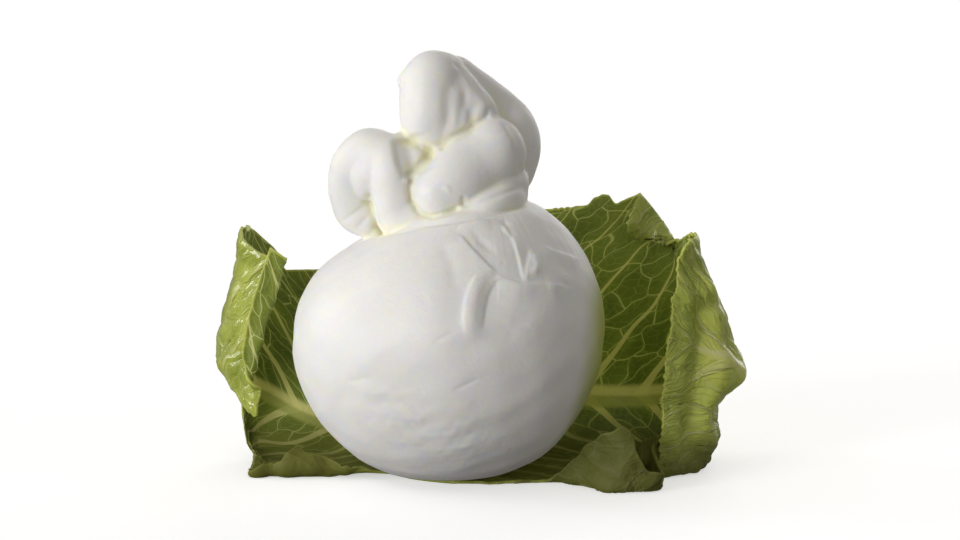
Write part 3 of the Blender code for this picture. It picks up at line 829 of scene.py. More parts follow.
    def build(self, shift: Array) -> None:
        """Makes the whole cheese as one piece of curd in the place of its solid.

        Args:
            shift: millimetres from the spot under the ball to the part's own origin.
        """
        curd, beads = self.build_ball(), self.build_strands()
        select_only(curd)
        for bead in beads:
            bead.select_set(True)
        bpy.ops.object.join()
        apply_modifier(curd, "REMESH", mode="VOXEL", voxel_size=self.voxel * MM)
        apply_modifier(curd, "SMOOTH", factor=0.5, iterations=self.fairing)
        self.sculpt(curd.data)
        apply_modifier(curd, "SMOOTH", factor=0.5, iterations=1)
        self.mark_crease_shade(curd)
        self.mark_skin_and_leaf_bounce(curd.data)
        apply_modifier(curd, "DECIMATE", ratio=min(1.0, self.triangles / count_triangles(curd.data)))
        write_points(curd.data, read_points(curd.data) + shift * MM)
        curd.data.materials.clear()
        curd.data.materials.append(self.finish.build())
        add_piece(curd, "cheese")


# ---- lettuce ----


class Side(Enum):
    """A leaf's two sides."""

    INNER = "the darker side that faces the ball"
    OUTER = "the paler side with the raised veins"


@dataclass(frozen=True)
class LeafFinish:
    """Fresh lettuce: waxy green with a paler net of veins, pale margins with a painted highlight along the
    edge, and a pale midrib.
    """

    side: Side
    deep: Colour
    fresh: Colour
    vein: Colour
    rib: Colour
    # rim: the paler margin, partly a painted highlight along the free edge
    rim: Colour
    roughness: float
    glow: float = 0.25  # the share of the light that passes through
    wet: float = 0.15
    lateral_share: float = 0.9
    net_share: float = 0.7
    fine_share: float = 0.2
    inland: float = 0.0  # how much fresher the green is away from the margin
    embossed: float = 0.0005
    shaded: Colour = (0.13, 0.125, 0.02)  # painted shade low on the leaf, at the floor and on its upturned lips

    def build(self) -> bpy.types.Material:
        """Makes the material of one side.

        Returns:
            The material.
        """
        nodes = Nodes(bpy.data.materials.new(f"leaf {self.side.name.lower()}"))
        place, net = nodes.place(1.0, 1.0, 1.0), nodes.value("net", "Vector")
        phase, rib, margin, low = (nodes.value(name) for name in ("phase", "rib", "margin", "low"))
        rib_half, lateral_half = nodes.value("rib_half"), nodes.value("lateral_half")
        patches = nodes.noise(place, 60.0, 3.0, 0.8).rise(0.35, 0.68)
        grain = nodes.noise(place, 900.0, 3.0)
        coarse, fine = nodes.cell_edges(net, 1.0), nodes.cell_edges(net, FINE_NET)
        lateral = abs(phase - phase.math("ROUND", phase)) * nodes.value("spacing")
        lateral_line = lateral.rise(lateral_half + 0.2, lateral_half - 0.1)
        rib_line = abs(rib + 0.7).rise(rib_half + 1.2, rib_half - 0.8)
        green = patches * 0.55 + lateral.rise(3.6, 0.3) * 0.3 + margin.rise(7.0, 13.0) * self.inland
        tint = nodes.mix(self.deep, self.fresh, green.at_most(1.0))
        tint = nodes.mix(tint, self.fresh, margin.rise(7.0, 0.0).at_least(coarse.rise(0.2, 0.0)) * 0.35)
        coarse_line, fine_line = coarse.rise(0.036, 0.008), fine.rise(0.06, 0.015)
        veins = (coarse_line * self.net_share).at_least(fine_line * self.fine_share)
        tint = nodes.mix(tint, self.vein, veins)
        tint = nodes.mix(tint, self.rib, lateral_line * self.lateral_share)
        streaked = nodes.mix(self.fresh, self.rib, rib.rise(-1.2, 0.2) * 0.65 + 0.35)
        tint = nodes.mix(tint, streaked, rib_line * (0.75 + nodes.noise(net, 3.0, 3.0) * 0.25))
        tint = nodes.mix(tint, nodes.mix(self.deep, self.vein, 0.5), grain.rise(0.62, 0.78) * 0.25)
        # Painted shade low on the leaf, towards the floor and on its lips.
        tint = nodes.mix(tint, self.shaded, low * 0.85)
        # The paler margin, partly a painted highlight along the edge, fainter on the shaded lips.
        tint = nodes.mix(tint, self.rim, margin.rise(0.8, 0.15) * (0.85 - low * 0.75))
        relief = (coarse.rise(0.0, 0.22) * 0.55 + fine.rise(0.0, 0.28) * 0.3) * (1.0 - rib_line)
        if self.side is Side.OUTER:
            wrinkles = nodes.noise(nodes.place(1.0, 1.0, 0.4), 210.0, 3.0, 1.2)
            relief = -1.0 * relief + lateral_line * 0.5 + wrinkles * 1.1
        normal = nodes.bump((relief + grain * 0.12) * (1.0 - low.rise(0.78, 1.0) * 0.6), self.embossed)
        fields = {
            "Base Color": tint,
            "Roughness": self.roughness + nodes.noise(place, 140.0, 2.0).rise(0.3, 0.7) * 0.14 + low * 0.3,
            "Normal": normal,
            "IOR": 1.4,
            "Coat Weight": self.wet * (1.0 - low),
            "Coat Roughness": 0.2,
        }
        gloss = nodes.add("ShaderNodeBsdfPrincipled", {}, fields)
        passed = nodes.add("ShaderNodeBsdfTranslucent", {}, {"Color": tint, "Normal": normal})
        return nodes.finish(nodes.add("ShaderNodeMixShader", {}, {0: self.glow, 1: gloss, 2: passed}))


DARK = LeafFinish(
    side=Side.INNER, deep=(0.18, 0.235, 0.03), fresh=(0.32, 0.385, 0.055), vein=(0.84, 0.88, 0.34),
    rib=(0.90, 0.86, 0.34), rim=(0.74, 0.78, 0.16), roughness=0.42, embossed=0.00012,
)
LIGHT = LeafFinish(
    side=Side.OUTER, deep=(0.36, 0.44, 0.045), fresh=(0.68, 0.74, 0.12), vein=(0.70, 0.75, 0.22),
    rib=(0.80, 0.79, 0.36), rim=(0.74, 0.78, 0.20), roughness=0.28, wet=1.0, lateral_share=0.4, glow=0.3,
    embossed=0.00045, fine_share=0.3,
)
# The right leaf's outer side: a painted lit copy of the outer finish, paler to stand in for light on its
# shaded curl, with darker painted shade at the floor.
OUTER_PAINTED_LIT = LeafFinish(
    side=Side.OUTER, deep=(0.44, 0.53, 0.065), fresh=(0.86, 0.93, 0.20), vein=(0.88, 0.92, 0.36),
    rib=(0.98, 0.95, 0.56), rim=(0.86, 0.90, 0.24), roughness=0.3, wet=0.7, lateral_share=0.5, glow=0.4,
    embossed=0.0006, net_share=0.95, fine_share=0.5, inland=0.6, shaded=(0.075, 0.073, 0.012),
)


@dataclass(frozen=True)
class Fold:
    """A crease past which the blade turns over to its inner side, or outwards if its turn is below 0."""

    start: Pair  # (along, height)
    end: Pair
    radius: float
    turn: float  # in degrees
    fade: Pair  # how far before its start and past its end it flattens out


@dataclass(frozen=True)
class Swell:
    """A rounded ridge of a leaf along (along, height) places, or a groove if its height is below 0."""

    line: Table
    width: float
    height: float


@dataclass(frozen=True)
class Leaf:
    """A leaf as a strip that runs along a rail in plan, lies flat in front of it and stands up above it.

    Tables hold (along, value) pairs in millimetres, with `along` from the leaf's base end.
    """

    name: str
    outer: LeafFinish
    rail: Table  # (x, y) in plan
    facing: Table  # how far it has turned in plan, in degrees
    side: float
    bend: Table  # the radius of the bend between its floor part and its standing part
    floor: Table  # how far it lies on the floor, or below 0 how far above the bend's start its margin is
    lip: Table  # how much of it turns up at the floor part's free margin
    top: Table  # the height of its upper margin
    end: Table  # (share of the width, how far along the end is)
    belly: Table  # (height, how far the curl bulges sideways)
    rib: Table  # how far up the midrib runs
    rib_strength: Table  # how much the midrib stands out
    curl: Triple  # where along it the curl begins, is fullest and ends
    density: Table  # how closely its columns of vertices stand
    folds: tuple[Fold, ...]
    swells: tuple[Swell, ...]
    roots: tuple[float, ...]  # where the side veins leave the midrib
    upper_vein: Table  # (height above the midrib, how far along a side vein has run)
    lower_vein: Table
    notch: float  # how deeply its free margins are toothed
    seed: int
    inner: LeafFinish = DARK
    lift: Table = ((0.0, 0.0), (150.0, 0.0))  # how many other leaves lie under it
    splay: Table = ((0.0, 0.0), (150.0, 0.0))  # how far the part on the floor spreads sideways
    thickness: float = 0.8
    gap: float = 0.75
    rib_thickness: float = 3.0
    rib_width: float = 4.5
    lean_deg: float = 3.0
    lip_radius: float = 2.2
    lip_turn_deg: float = 104.0
    end_length: float = 90.0  # roughly, of the margin at its end
    ripple: float = 0.8
    ripple_lengths: Pair = (16.0, 34.0)
    crinkled: float = 0.6
    quilted: Pair = (0.85, 0.22)  # how far the large and the small cells between its veins swell
    net_cell: Pair = (2.2, 7.5)  # large cells from one side vein to the next, and millimetres across a cell
    flare: float = 0.9  # how much wider a side vein is where it leaves the midrib
    dim: Pair = (1.0, 14.0)  # the heights between which painted shade darkens the leaf, most at the floor
    step: float = 0.4
    columns: int = 250
    rows: int = 160
    row_spread: Table = ((0.0, 0.0), (0.2, 0.1), (0.35, 0.24), (0.6, 0.55), (0.8, 0.8), (1.0, 1.0))

    def inward(self, along: Array) -> Array:
        """The level direction that the leaf's inner side faces there."""
        turned = np.radians(through(self.facing, along))
        return np.stack([-self.side * np.sin(turned), -np.cos(turned)], axis=-1)

    def curled(self, along: Array, over: float) -> Array:
        """0 before the curl begins, rising to 1 over so many millimetres."""
        return ease((along - self.curl[0]) / over)

    def steepness(self, along: Array) -> Array:
        """Radians from level of the standing part, which leans back except where it curls."""
        return np.radians(90.0 - self.lean_deg * (1.0 - self.curled(along, 20.0)))

    def cross_section(self, along: Array, up: Array) -> tuple[Array, Array]:
        """(inward, height) of the inner side so far up past the bend's start, or below 0 on the floor.

        Args:
            along: how far along the leaf each spot is.
            up: how far up its cross-section each spot is.

        Returns:
            How far inward of the rail and how high each spot is.
        """
        bend, floor, lean = through(self.bend, along), through(self.floor, along), self.steepness(along)
        above = np.maximum(up - bend * lean, 0.0)
        turn = np.clip(up, 0.0, bend * lean) / bend
        inward = bend * (1.0 - np.sin(turn)) - above * np.cos(lean) - np.minimum(up, 0.0)
        height = bend * (1.0 - np.cos(turn)) + above * np.sin(lean)
        past = np.maximum(-np.maximum(floor, 0.0) - up, 0.0)
        rolled = np.minimum(past / self.lip_radius, math.radians(self.lip_turn_deg))
        beyond = past - rolled * self.lip_radius
        inward += self.lip_radius * np.sin(rolled) - past + beyond * np.cos(rolled)
        height += self.lip_radius * (1.0 - np.cos(rolled)) + beyond * np.sin(rolled)
        return inward, height

    def flat_blade(self, along: Array, up: Array) -> Array:
        """Points of the leaf's inner side before its corners are folded.

        Args:
            along: how far along the leaf each spot is.
            up: how far up its cross-section each spot is.

        Returns:
            Their places, with x, y and z on the last axis.
        """
        lift = self.thickness + through(self.lift, along) * (self.thickness + self.gap)
        inward, height = self.cross_section(along, up)
        inward, height = inward + lift, height + lift
        begin, middle, finish = self.curl
        shift = through(self.belly, height) * self.curled(along, middle - begin)
        shift *= ease((finish - along) / (finish - middle))
        spots = through_spots(self.rail, 800)
        run = np.concatenate([[0.0], np.cumsum(np.linalg.norm(np.diff(spots, axis=0), axis=1))])
        plan = np.stack([np.interp(along, run, spots[:, i]) for i in (0, 1)], axis=-1)
        plan = plan + inward[..., None] * self.inward(along)
        spread = self.side * through(self.splay, along) * ease(-up / 26.0)
        return np.stack([plan[..., 0] + shift + spread, plan[..., 1], height], axis=-1)

    def up_of_height(self, along: Array, height: Array) -> Array:
        """How far up the cross-section a height on the standing part is."""
        bend, lean = through(self.bend, along), self.steepness(along)
        return bend * lean + (height - self.thickness - bend * (1.0 - np.cos(lean))) / np.sin(lean)

    def folded_blade(self, along: Array, up: Array) -> Array:
        """Points of the leaf's inner side.

        Args:
            along: how far along the leaf each spot is.
            up: how far up its cross-section each spot is.

        Returns:
            Their places, with x, y and z on the last axis.
        """
        points = self.flat_blade(along, up)
        for fold in self.folds:
            ends = np.array([(s, self.up_of_height(np.array(s), z)) for s, z in (fold.start, fold.end)])
            length = np.linalg.norm(ends[1] - ends[0])
            line = (ends[1] - ends[0]) / length
            across = np.array((-line[1], line[0])) * (1.0 if line[1] < 0 else -1.0)
            spot = np.stack([along, up], axis=-1) - ends[0]
            reach = spot @ line
            near = ease(1.0 + reach / fold.fade[0]) * ease(1.0 - (reach - length) / fold.fade[1])
            past = np.maximum(spot @ across, 0.0)
            foot = ends[0] + reach[..., None] * line
            feet = (foot, foot + across * self.step, foot + line * self.step)
            here, ahead, beside = (self.flat_blade(place[..., 0], place[..., 1]) for place in feet)
            ahead = unit(ahead - here)
            normal = unit(np.cross(beside - here, ahead))
            inside = (normal[..., :2] * self.inward(foot[..., 0])).sum(-1)
            normal *= np.sign(inside)[..., None] * math.copysign(1.0, fold.turn)
            turned = np.minimum(past / fold.radius, math.radians(abs(fold.turn)) * near)
            rest = past - turned * fold.radius
            forward = fold.radius * np.sin(turned) + rest * np.cos(turned)
            lifted = fold.radius * (1.0 - np.cos(turned)) + rest * np.sin(turned)
            moved = here + forward[..., None] * ahead + lifted[..., None] * normal
            points = points + (moved - points) * ((past > 0) * np.minimum(near * 4.0, 1.0))[..., None]
        return points

    def waves(self, along: Array, up: Array) -> Array:
        """A gentle seeded ripple between about -1 and 1.

        Args:
            along: how far along the leaf each spot is.
            up: how far up its cross-section each spot is.

        Returns:
            One value for each spot.
        """
        rng = np.random.default_rng(self.seed)
        total = np.zeros_like(along)
        for _ in range(5):
            length = rng.uniform(*self.ripple_lengths)
            angle, phase = rng.uniform(0, math.tau, 2)
            total += np.sin((along * math.cos(angle) + up * math.sin(angle)) * math.tau / length + phase)
        return total / 5

    def relief(self, along: Array, up: Array, height: Array) -> Array:
        """How far the standing part swells to its inner side, in ripples and ridges.

        Args:
            along: how far along the leaf each spot is.
            up: how far up its cross-section each spot is.
            height: how high it is above the floor.

        Returns:
            One rise in millimetres for each spot.
        """
        standing = ease((up - 6.0) / 24.0) * ease((along - 34.0) / 16.0)
        near_top = ease(1.0 - (through(self.top, along) - height) / 14.0)
        loose = 0.4 + 0.6 * self.curled(along, 20.0) + 1.2 * near_top
        rise = self.ripple * standing * loose * self.waves(along, up)
        spots = np.stack([along, height], axis=-1)
        for swell in self.swells:
            rise += swell.height * bell(beside_line(swell.line, spots)[0] / swell.width)
        return rise

    def teeth(self, where: Array, period: float, seed: int) -> Array:
        """The uneven little teeth of a margin, 0 in their notches and about 1 at their tips.

        Args:
            where: places along the margin.
            period: a tooth's usual width.
            seed: picks the teeth.

        Returns:
            One value for each place.
        """
        spots, seed = where[..., None], self.seed + seed
        warped = where / period + 0.8 * swells(spots, (period * 2.5, period * 6.0), 4, seed)
        tooth = 1.0 - np.abs(2.0 * (warped - np.floor(warped)) - 1.0)
        return tooth * (0.6 + 0.4 * swells(spots, (period * 3.0, period * 9.0), 4, seed + 1))

    def domain(self, across: Array, share: Array) -> tuple[Array, Array, Array]:
        """(along, up, distance from the margin) for shares of the leaf's width and length.

        Args:
            across: shares of the leaf's width, from its lower margin.
            share: shares of its length.

        Returns:
            Three arrays of millimetres.
        """
        end_spot = across * self.end_length
        toothed = 0.9 * self.teeth(end_spot, 3.1, 0) + 0.8 * self.teeth(end_spot, 9.0, 2)
        reach = through(self.end, across) + self.notch * toothed
        spaced = np.linspace(0.0, 1.0, 400)
        closeness = through(self.density, spaced * self.end[-1][1])
        grown = np.concatenate([[0.0], np.cumsum((closeness[1:] + closeness[:-1]) / 2)])
        along = np.interp(share, grown / grown[-1], spaced) * reach
        floor = through(self.floor, along)
        low = -floor - np.where(floor > 0, through(self.lip, along), 0.0)
        nibble = 0.7 * self.teeth(along, 4.0, 4) + 0.9 * self.teeth(along, 11.0, 5)
        low -= nibble / (1.0 + 4.0 * (through(self.floor, along + 1.0) - floor) ** 2)
        high = self.up_of_height(along, through(self.top, along))
        high += self.notch * (0.6 * self.teeth(along, 3.4, 6) - 0.3)
        up = low + across * (high - low)
        return along, up, np.minimum(np.minimum(up - low, high - up), reach - along)

    def vein_phase(self, along: Array, above: Array) -> Array:
        """A number that is whole on each side vein and runs evenly between them.

        Args:
            along: how far along the leaf each spot is.
            above: how far above the midrib it is.

        Returns:
            One number for each spot.
        """
        run = np.where(above > 0, through(self.upper_vein, above), through(self.lower_vein, -above))
        foot = along - run
        roots = np.array(self.roots)
        first, last = roots[1] - roots[0], roots[-1] - roots[-2]
        inside = np.interp(foot, roots, np.arange(len(roots)))
        return inside + np.minimum(foot - roots[0], 0.0) / first + np.maximum(foot - roots[-1], 0.0) / last

    def veins(self, along: Array, up: Array, margin: Array) -> dict[str, Array]:
        """What the finish reads, under its names: how each vertex lies to the veins, margins and floor.

        Args:
            along: how far along the leaf each spot is.
            up: how far up its cross-section each spot is.
            margin: how far it is from the nearest margin.

        Returns:
            The values under their attributes' names.
        """
        above = up - through(self.rib, along)
        phase = self.vein_phase(along, above)
        along_step = self.vein_phase(along + self.step, above) - phase
        up_step = self.vein_phase(along, above + self.step) - phase
        spots = np.stack([along, up], axis=-1)
        warp = [0.12 * swells(spots, (5.0, 14.0), 6, self.seed + k) for k in (20, 21)]
        net = [phase * self.net_cell[0] + warp[0], above / self.net_cell[1] + warp[1], np.zeros_like(up)]
        from_rib = np.abs(above)
        lateral_half = np.clip(0.75 - from_rib * 0.012, 0.28, 0.75) * (0.35 + 0.65 * ease(margin / 24.0))
        on_floor = through(self.floor, along)
        return {
            "net": np.stack(net, axis=-1),
            "phase": phase,
            "spacing": self.step / np.maximum(np.hypot(along_step, up_step), 1e-6),
            "rib": above,
            "rib_half": self.rib_width * through(self.rib_strength, along) - 1.0,
            "margin": margin,
            "lateral_half": lateral_half + self.flare * np.exp(-from_rib / 5.0) * (margin > 8.0),
            # Where the margin turns up off the floor; the finishes paint shade there.
            "low": ease(np.where(on_floor > 0.0, -on_floor - up, 0.0) / 1.5),
        }

    def cell_edges(self, sheet: Object, scale: float) -> Array:
        """The same cell pattern as the finish draws, read at the vertices.

        Args:
            sheet: the leaf's sheet, with its net.
            scale: how much finer the cells are than the net's.

        Returns:
            How far each vertex is from the nearest edge, in cell sizes.
        """
        group = bpy.data.node_groups.new("cells", "GeometryNodeTree")
        for way in ("INPUT", "OUTPUT"):
            group.interface.new_socket("Geometry", in_out=way, socket_type="NodeSocketGeometry")
        nodes = Nodes(group)
        kept = {"data_type": "FLOAT_VECTOR"}
        net = nodes.add("GeometryNodeInputNamedAttribute", kept, {"Name": "net"}, "Attribute")
        whole = nodes.add("NodeGroupInput", {}, {})
        fields = {"Geometry": whole, "Name": "cells", "Value": nodes.cell_edges(net, scale)}
        settings = {"data_type": "FLOAT", "domain": "POINT"}
        stored = nodes.add("GeometryNodeStoreNamedAttribute", settings, fields)
        nodes.add("NodeGroupOutput", {}, {0: stored})
        apply_modifier(sheet, "NODES", node_group=group)
        values = np.empty(len(sheet.data.vertices))
        sheet.data.attributes["cells"].data.foreach_get("value", values)
        sheet.data.attributes.remove(sheet.data.attributes["cells"])
        return values

    def shape(self, along: Array, up: Array, veins: dict[str, Array], quilt: Array) -> Array:
        """The vertices' places in millimetres, with the blade's ripples, quilting and crinkled margins.

        Args:
            along: how far along the leaf each spot is.
            up: how far up its cross-section each spot is.
            veins: what the veins method gives.
            quilt: how far each spot swells between the veins.

        Returns:
            An (n, 3) array.
        """
        spots = np.stack([along, up], axis=-1)
        loose = ease(1.0 - veins["margin"] / 9.0)
        crinkle = loose * self.crinkled * swells(spots, (5.0, 12.0), 8, self.seed + 30)
        here = self.folded_blade(along, up)
        ahead = self.folded_blade(along + self.step, up) - here
        higher = self.folded_blade(along, up + self.step) - here
        free = (0.04 + 0.96 * self.curled(along, 18.0)) * (1.0 - 0.8 * veins["low"])
        rise = self.relief(along, up, self.flat_blade(along, up)[..., 2])
        rise += ((quilt - 0.4) * 0.5 + crinkle) * free
        rise += 0.9 * veins["low"] * swells(spots, (7.0, 15.0), 6, self.seed + 40)
        grounded = ease((here[:, 2] - self.thickness) / 2.5)
        rise = np.where(rise < 0, rise * grounded, rise)
        return here + unit(np.cross(higher, ahead)) * self.side * rise[:, None]

    def thicken(self, sheet: Object, weights: Array) -> None:
        """Gives the sheet its thickness, up to the midrib's where the weight is 1, and its two finishes.

        Args:
            sheet: the shaped sheet.
            weights: one number for each vertex.
        """
        group = sheet.vertex_groups.new(name="thick")
        for i, weight in enumerate(weights):
            group.add([i], float(weight), "REPLACE")
        sheet.data.materials.append(self.inner.build())
        sheet.data.materials.append(self.outer.build())
        apply_modifier(
            sheet, "SOLIDIFY", thickness=self.rib_thickness * MM, offset=-1.0, vertex_group="thick",
            thickness_vertex_group=self.thickness / self.rib_thickness, use_even_offset=False,
            material_offset=1, material_offset_rim=0,
        )

    def build(self, shift: Array) -> None:
        """Makes the leaf as a thin closed piece with its two finishes, in the place of its solid.

        Args:
            shift: millimetres from the spot under the ball to the part's own origin.
        """
        grid = {"x_subdivisions": self.columns, "y_subdivisions": self.rows, "size": 2.0}
        sheet = added(bpy.ops.mesh.primitive_grid_add, **grid)
        shares = (read_points(sheet.data)[:, :2] + 1.0) / 2.0
        along, up, margin = self.domain(through(self.row_spread, shares[:, 1]), shares[:, 0])
        veins = self.veins(along, up, margin)
        for name, values in veins.items():
            write_values(sheet.data, name, values)
        lateral = np.abs(veins["phase"] - np.round(veins["phase"])) * veins["spacing"]
        near_rib = bell(veins["rib"] / self.rib_width) * through(self.rib_strength, along)
        on_lateral = bell(lateral / (veins["lateral_half"] + 0.4))
        coarse, fine = self.cell_edges(sheet, 1.0), self.cell_edges(sheet, FINE_NET)
        quilt = self.quilted[0] * ease(coarse / 0.3) + self.quilted[1] * ease(fine / 0.3)
        quilt = quilt * (1.0 - ease(near_rib * 2.0)) * ease(margin / 1.5) - 0.2 * on_lateral
        write_points(sheet.data, (self.shape(along, up, veins, quilt) + shift) * MM)
        if self.side < 0:
            select_only(sheet)
            bpy.ops.object.mode_set(mode="EDIT")
            bpy.ops.mesh.select_all(action="SELECT")
            bpy.ops.mesh.flip_normals()
            bpy.ops.object.mode_set(mode="OBJECT")
        self.thicken(sheet, np.clip(near_rib + 0.1 * on_lateral, 0.0, 1.0))
        points = read_points(sheet.data)
        points[:, 2] = np.maximum(points[:, 2], 0.0)
        write_points(sheet.data, points)
        # Painted shade: the leaf darkens below the dim heights, on top of the shade of its lips.
        dimmed = sheet.data.attributes["low"].data
        lips = np.empty(len(points), np.float32)
        dimmed.foreach_get("value", lips)
        low = 0.75 * ease(1.0 - (points[:, 2] / MM - self.dim[0]) / (self.dim[1] - self.dim[0]))
        dimmed.foreach_set("value", np.maximum(lips, low).astype(np.float32))
        add_piece(sheet, self.name)


LOWER_VEIN = ((0, 0), (2.5, 3), (6.2, 7), (9.9, 10.6), (15, 17), (17.4, 25), (70, 90))

# The leaf under the ball, which curls forward at the left.
LEFT_LEAF = Leaf(
    name="leaf_left",
    outer=LIGHT,
    rail=(
        (15, 47.2), (0, 47.5), (-20, 47.5), (-36, 47.3), (-48, 46.4), (-56, 43), (-61.8, 38.4), (-65.2, 32),
        (-66.3, 25), (-65, 18), (-61.5, 11.8), (-56.5, 7.4), (-50.5, 4.8), (-44, 3.4), (-36, 2.8),
    ),
    facing=((0, 0), (71, 0), (76.5, 16), (84, 50), (93, 88), (102, 122), (110, 146), (120, 164), (140, 172)),
    side=-1.0,
    lift=((0, 1), (37, 1), (50, 0), (150, 0)),
    bend=((0, 22), (56, 22), (72, 18), (86, 12), (100, 8), (150, 6)),
    floor=(
        (0, 3), (14, 18), (24, 23), (35, 22.5), (46, 21), (60, 21), (72, 20), (74.5, 17), (78, 3), (81, -11),
        (83.5, -26), (86.5, -32), (94, -34), (104, -27), (112, -22), (118, -20), (150, -20),
    ),
    lip=(
        (0, 0), (30, 0), (38, 1.5), (46, 4), (51, 6.5), (55.5, 7), (57.5, 9.5), (59.5, 7.5), (62, 4.5),
        (66.5, 3.6), (70.5, 2.4), (73.5, 1), (76, 0),
    ),
    top=(
        (0, 24), (10, 38), (24, 48), (44, 53), (63.5, 53), (65, 57), (67, 59.7), (71, 63), (75, 65.5),
        (83, 67.4), (88, 66.9), (93, 66.8), (98, 68), (103, 68.8), (110, 67.4), (118, 63.2), (124, 61.5),
        (150, 61.5),
    ),
    end=((0, 117), (0.2, 119), (0.37, 124.5), (0.7, 130), (1, 133.5)),
    belly=(
        (0, 0.5), (4, 2.2), (8, 4.2), (12, 5), (18, 5.4), (22, 4.8), (26, 2), (31, -1.4), (35, -0.8),
        (42, 1.8), (52, 4.2), (60, 6.2), (68, 8.2),
    ),
    rib=((0, 12), (50, 20), (74, 29), (90, 31), (110, 27), (150, 26)),
    rib_strength=((0, 0), (36, 0), (46, 0.9), (75, 0.8), (95, 0.5), (110, 0)),
    curl=(68.0, 93.0, 119.0),
    density=((0, 0.5), (34, 0.8), (52, 1.1), (90, 1.2), (135, 1.4)),
    folds=(Fold(start=(116.5, 31.0), end=(125.5, 61.5), radius=1.3, turn=-165.0, fade=(7.0, 20.0)),),
    swells=(
        Swell(line=((92, 31), (100, 34), (108, 37)), width=3.0, height=-1.2),
        Swell(line=((98, 44), (108, 50)), width=4.0, height=1.0),
    ),
    roots=(-10, 5, 20, 34, 47, 60, 74, 88, 101, 113),
    upper_vein=(
        (0, 0), (2.7, 2), (8, 5.6), (12.3, 10), (16.9, 14), (20.7, 16.8), (25.3, 20.3), (31, 26), (36, 32),
        (45, 42), (70, 80),
    ),
    lower_vein=LOWER_VEIN,
    notch=0.2,
    crinkled=0.25,
    flare=0.45,
    ripple=0.45,
    seed=8,
)

# The leaf behind the ball, which curls forward at the right.
RIGHT_LEAF = Leaf(
    name="leaf_right",
    outer=OUTER_PAINTED_LIT,
    rail=(
        (-18, 47.2), (0, 47.5), (20, 47.8), (40, 47.6), (52, 46.2), (62, 41.8), (70, 35.5), (76.6, 27.5),
        (78.2, 19), (76.2, 11.5), (70.6, 6), (66.5, 2.8), (62.5, 0.4), (58, -1.6),
    ),
    facing=(
        (0, 0), (70, 0), (80, 20), (90, 48), (100, 70), (109, 90), (117, 112), (124, 135), (132, 150),
        (150, 156),
    ),
    side=1.0,
    bend=((0, 22), (62, 22), (80, 17), (96, 9), (108, 5), (118, 3), (150, 2.5)),
    floor=(
        (0, 16), (8, 25), (18, 30.5), (30, 31.5), (38, 30.5), (48, 29.5), (54, 33.5), (58, 38), (62, 41),
        (66, 42.6), (70, 42.5), (73, 41), (76, 36), (79, 24), (82, 10), (86, 3), (95, 1.5), (110, 0.5),
        (150, 0),
    ),
    lip=(
        (0, 0), (44, 0.5), (48, 3), (50, 5), (53, 8.3), (57, 13.2), (60.5, 16.2), (63, 17), (65.5, 18.2),
        (67, 17.4), (68.4, 13.5), (69.7, 9), (71, 6.5), (74, 5.5), (77, 8), (79, 10.5), (82, 9.5), (84.5, 3),
        (87, 0.5), (90, 0),
    ),
    top=(
        (0, 34), (8, 52), (20, 63), (36, 70), (50, 71), (58, 72.2), (60.5, 74.4), (64, 75.2), (66.4, 72.4),
        (68.5, 73.6), (70.5, 74.4), (72.5, 75.2), (77.8, 77.5), (82, 79.2), (85.2, 80.2), (87, 79),
        (88.2, 71), (90, 64), (93, 63), (100, 65), (112, 66), (120, 66.5), (128, 66), (136, 63.5), (150, 62),
    ),
    end=((0, 142.4), (0.06, 141.4), (0.14, 139.2), (0.3, 139.2), (0.5, 138.4), (0.75, 136), (1, 132)),
    belly=(
        (0, -6.5), (4.5, -3.6), (9, -1.4), (14, -2.4), (18, -2.4), (22, 1.2), (26.5, 5.4), (31, 4.4),
        (35, 2.6), (38, 2), (42, 1.2), (46, -0.8), (52, -4.2), (60, -8), (68, -10.5),
    ),
    rib=((0, 24), (60, 28), (85, 26), (105, 28.5), (113, 29.5), (130, 38), (150, 42)),
    rib_strength=((0, 1), (70, 0.9), (100, 0.8), (112, 0.8), (124, 0.5), (131, 0.1), (134, 0)),
    curl=(76.0, 107.0, 137.0),
    density=((0, 0.5), (40, 0.7), (58, 1.1), (90, 1.3), (140, 1.3)),
    folds=(Fold(start=(71.0, 74.4), end=(86.5, 61.0), radius=1.6, turn=162.0, fade=(20.0, 3.0)),),
    swells=(
        Swell(line=((131, 8), (129.5, 25), (127.5, 42), (128, 50)), width=3.0, height=-1.6),
        Swell(line=((124, 14), (122.5, 28), (121, 44)), width=3.2, height=2.0),
        Swell(line=((109, 27.5), (114, 31), (121, 37), (127, 43)), width=2.4, height=-0.9),
        Swell(line=((122, 52), (130, 50)), width=3.0, height=1.6),
    ),
    roots=(-26, -10, 6, 22, 38, 56.5, 74, 91, 106, 119, 131),
    upper_vein=(
        (0, 0), (7, 5.5), (12.5, 9.8), (20.4, 15.8), (24.7, 20.5), (31, 25), (34.4, 27.9), (39, 32.2),
        (43, 35.7), (45.4, 39), (49.9, 43.4), (52.1, 45.4), (70, 58),
    ),
    lower_vein=(*LOWER_VEIN, (110, 122)),
    splay=((0, 0), (69, 0), (76, 9), (80, 10), (86, 0), (150, 0)),
    notch=1.0,
    seed=3,
)


# ---- studio ----


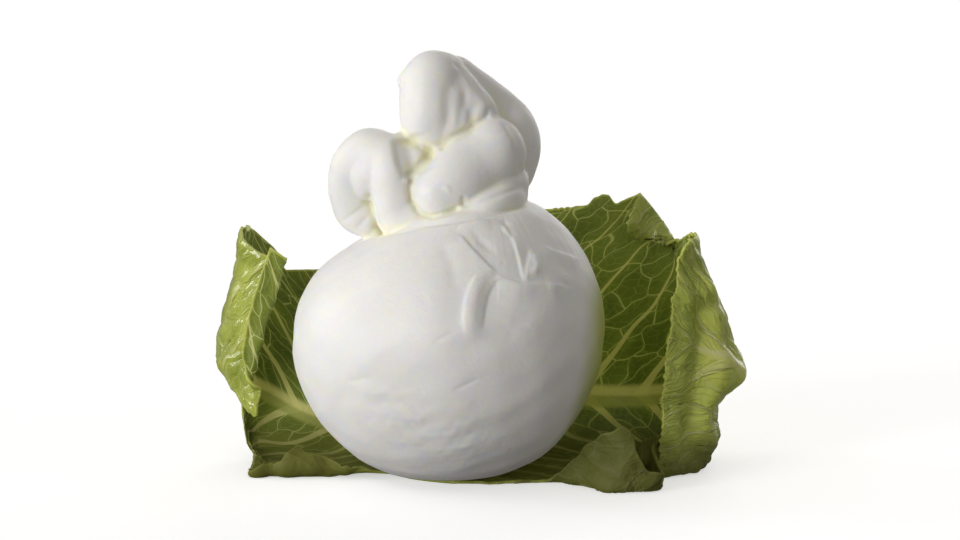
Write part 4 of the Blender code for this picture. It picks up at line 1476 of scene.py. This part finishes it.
@dataclass(frozen=True)
class Studio:
    """A pale floor and soft light that comes mostly from the left."""

    floor_size: float = 30.0
    floor_colour: Colour = (0.86, 0.86, 0.86)
    floor_mottle: float = 1.01
    floor_glow: float = 0.62  # keeps the floor pale under a light that comes in low
    sky: float = 0.37
    sky_colour: Colour = (1.0, 0.965, 0.91)
    ground_share: float = 0.3  # how bright the surroundings are below, against above
    horizon: Pair = (-0.6, 0.3)
    suns: tuple[tuple[float, float, Triple], ...] = (  # strength, width in degrees, and where it comes from
        (2.7, 26.0, (-0.75, -0.655, 0.07)),
        (0.75, 45.0, (0.30, 0.90, 0.32)),
        (0.6, 18.0, (-0.95, 0.2, 0.22)),
    )

    def build_floor(self) -> None:
        """A wide sheet of pale matt card."""
        floor = added(bpy.ops.mesh.primitive_plane_add, size=self.floor_size)
        floor.name = "floor"
        nodes = Nodes(bpy.data.materials.new("pale card"))
        light = tuple(channel * self.floor_mottle for channel in self.floor_colour)
        grain = nodes.noise(nodes.place(1.0, 1.0, 1.0), 300.0, 2.0)
        fields = {
            "Base Color": nodes.mix(self.floor_colour, light, grain),
            "Roughness": 0.8,
            "Specular IOR Level": 0.2,
            "Emission Color": self.floor_colour,
            "Emission Strength": self.floor_glow,
        }
        floor.data.materials.append(nodes.finish(nodes.add("ShaderNodeBsdfPrincipled", {}, fields)))
        floor.visible_diffuse = False
        floor.visible_glossy = False

    def build_sky(self) -> None:
        """The pale surroundings, dimmer below than above."""
        nodes = Nodes(bpy.data.worlds.new("studio"))
        way = nodes.add("ShaderNodeTexCoord", {}, {}, "Generated")
        height = nodes.add("ShaderNodeSeparateXYZ", {}, {0: way}, "Z")
        low, high = self.horizon
        fields = {"Value": height, "From Min": low, "From Max": high, "To Min": self.ground_share}
        share = nodes.add("ShaderNodeMapRange", {}, fields)
        tint = nodes.add("ShaderNodeVectorMath", {"operation": "SCALE"}, {0: self.sky_colour, "Scale": share})
        sky = nodes.add("ShaderNodeBackground", {}, {"Color": tint, "Strength": self.sky})
        bpy.context.scene.world = nodes.finish(sky, "World")

    def build(self) -> None:
        """The floor, the surroundings and the large soft lights."""
        self.build_floor()
        self.build_sky()
        for strength, width_deg, come_from in self.suns:
            lamp = added(bpy.ops.object.light_add, type="SUN", location=come_from)
            lamp.data.energy = strength
            lamp.data.angle = math.radians(width_deg)
            lamp.rotation_mode = "QUATERNION"
            lamp.rotation_quaternion = Vector(come_from).to_track_quat("Z", "Y")
        bpy.context.scene.view_settings.view_transform = "Standard"


def main() -> None:
    """Builds the pieces in order, then the studio."""
    logging.basicConfig(level=logging.INFO, format="%(name)s: %(message)s")
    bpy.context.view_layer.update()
    low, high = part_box("cheese")
    shift = np.array([*((low[i] + high[i]) / 2 / MM + BOX_TO_SPOT[i] for i in (0, 1)), 0.0])
    log.info("the spot under the ball is at %.2f, %.2f mm", shift[0], shift[1])
    view = FrontView()
    Cheese(view, CurdFinish()).build(shift)
    LEFT_LEAF.build(shift)
    RIGHT_LEAF.build(shift)
    Studio().build()
    view.build(shift)


if __name__ == "__main__":
    main()
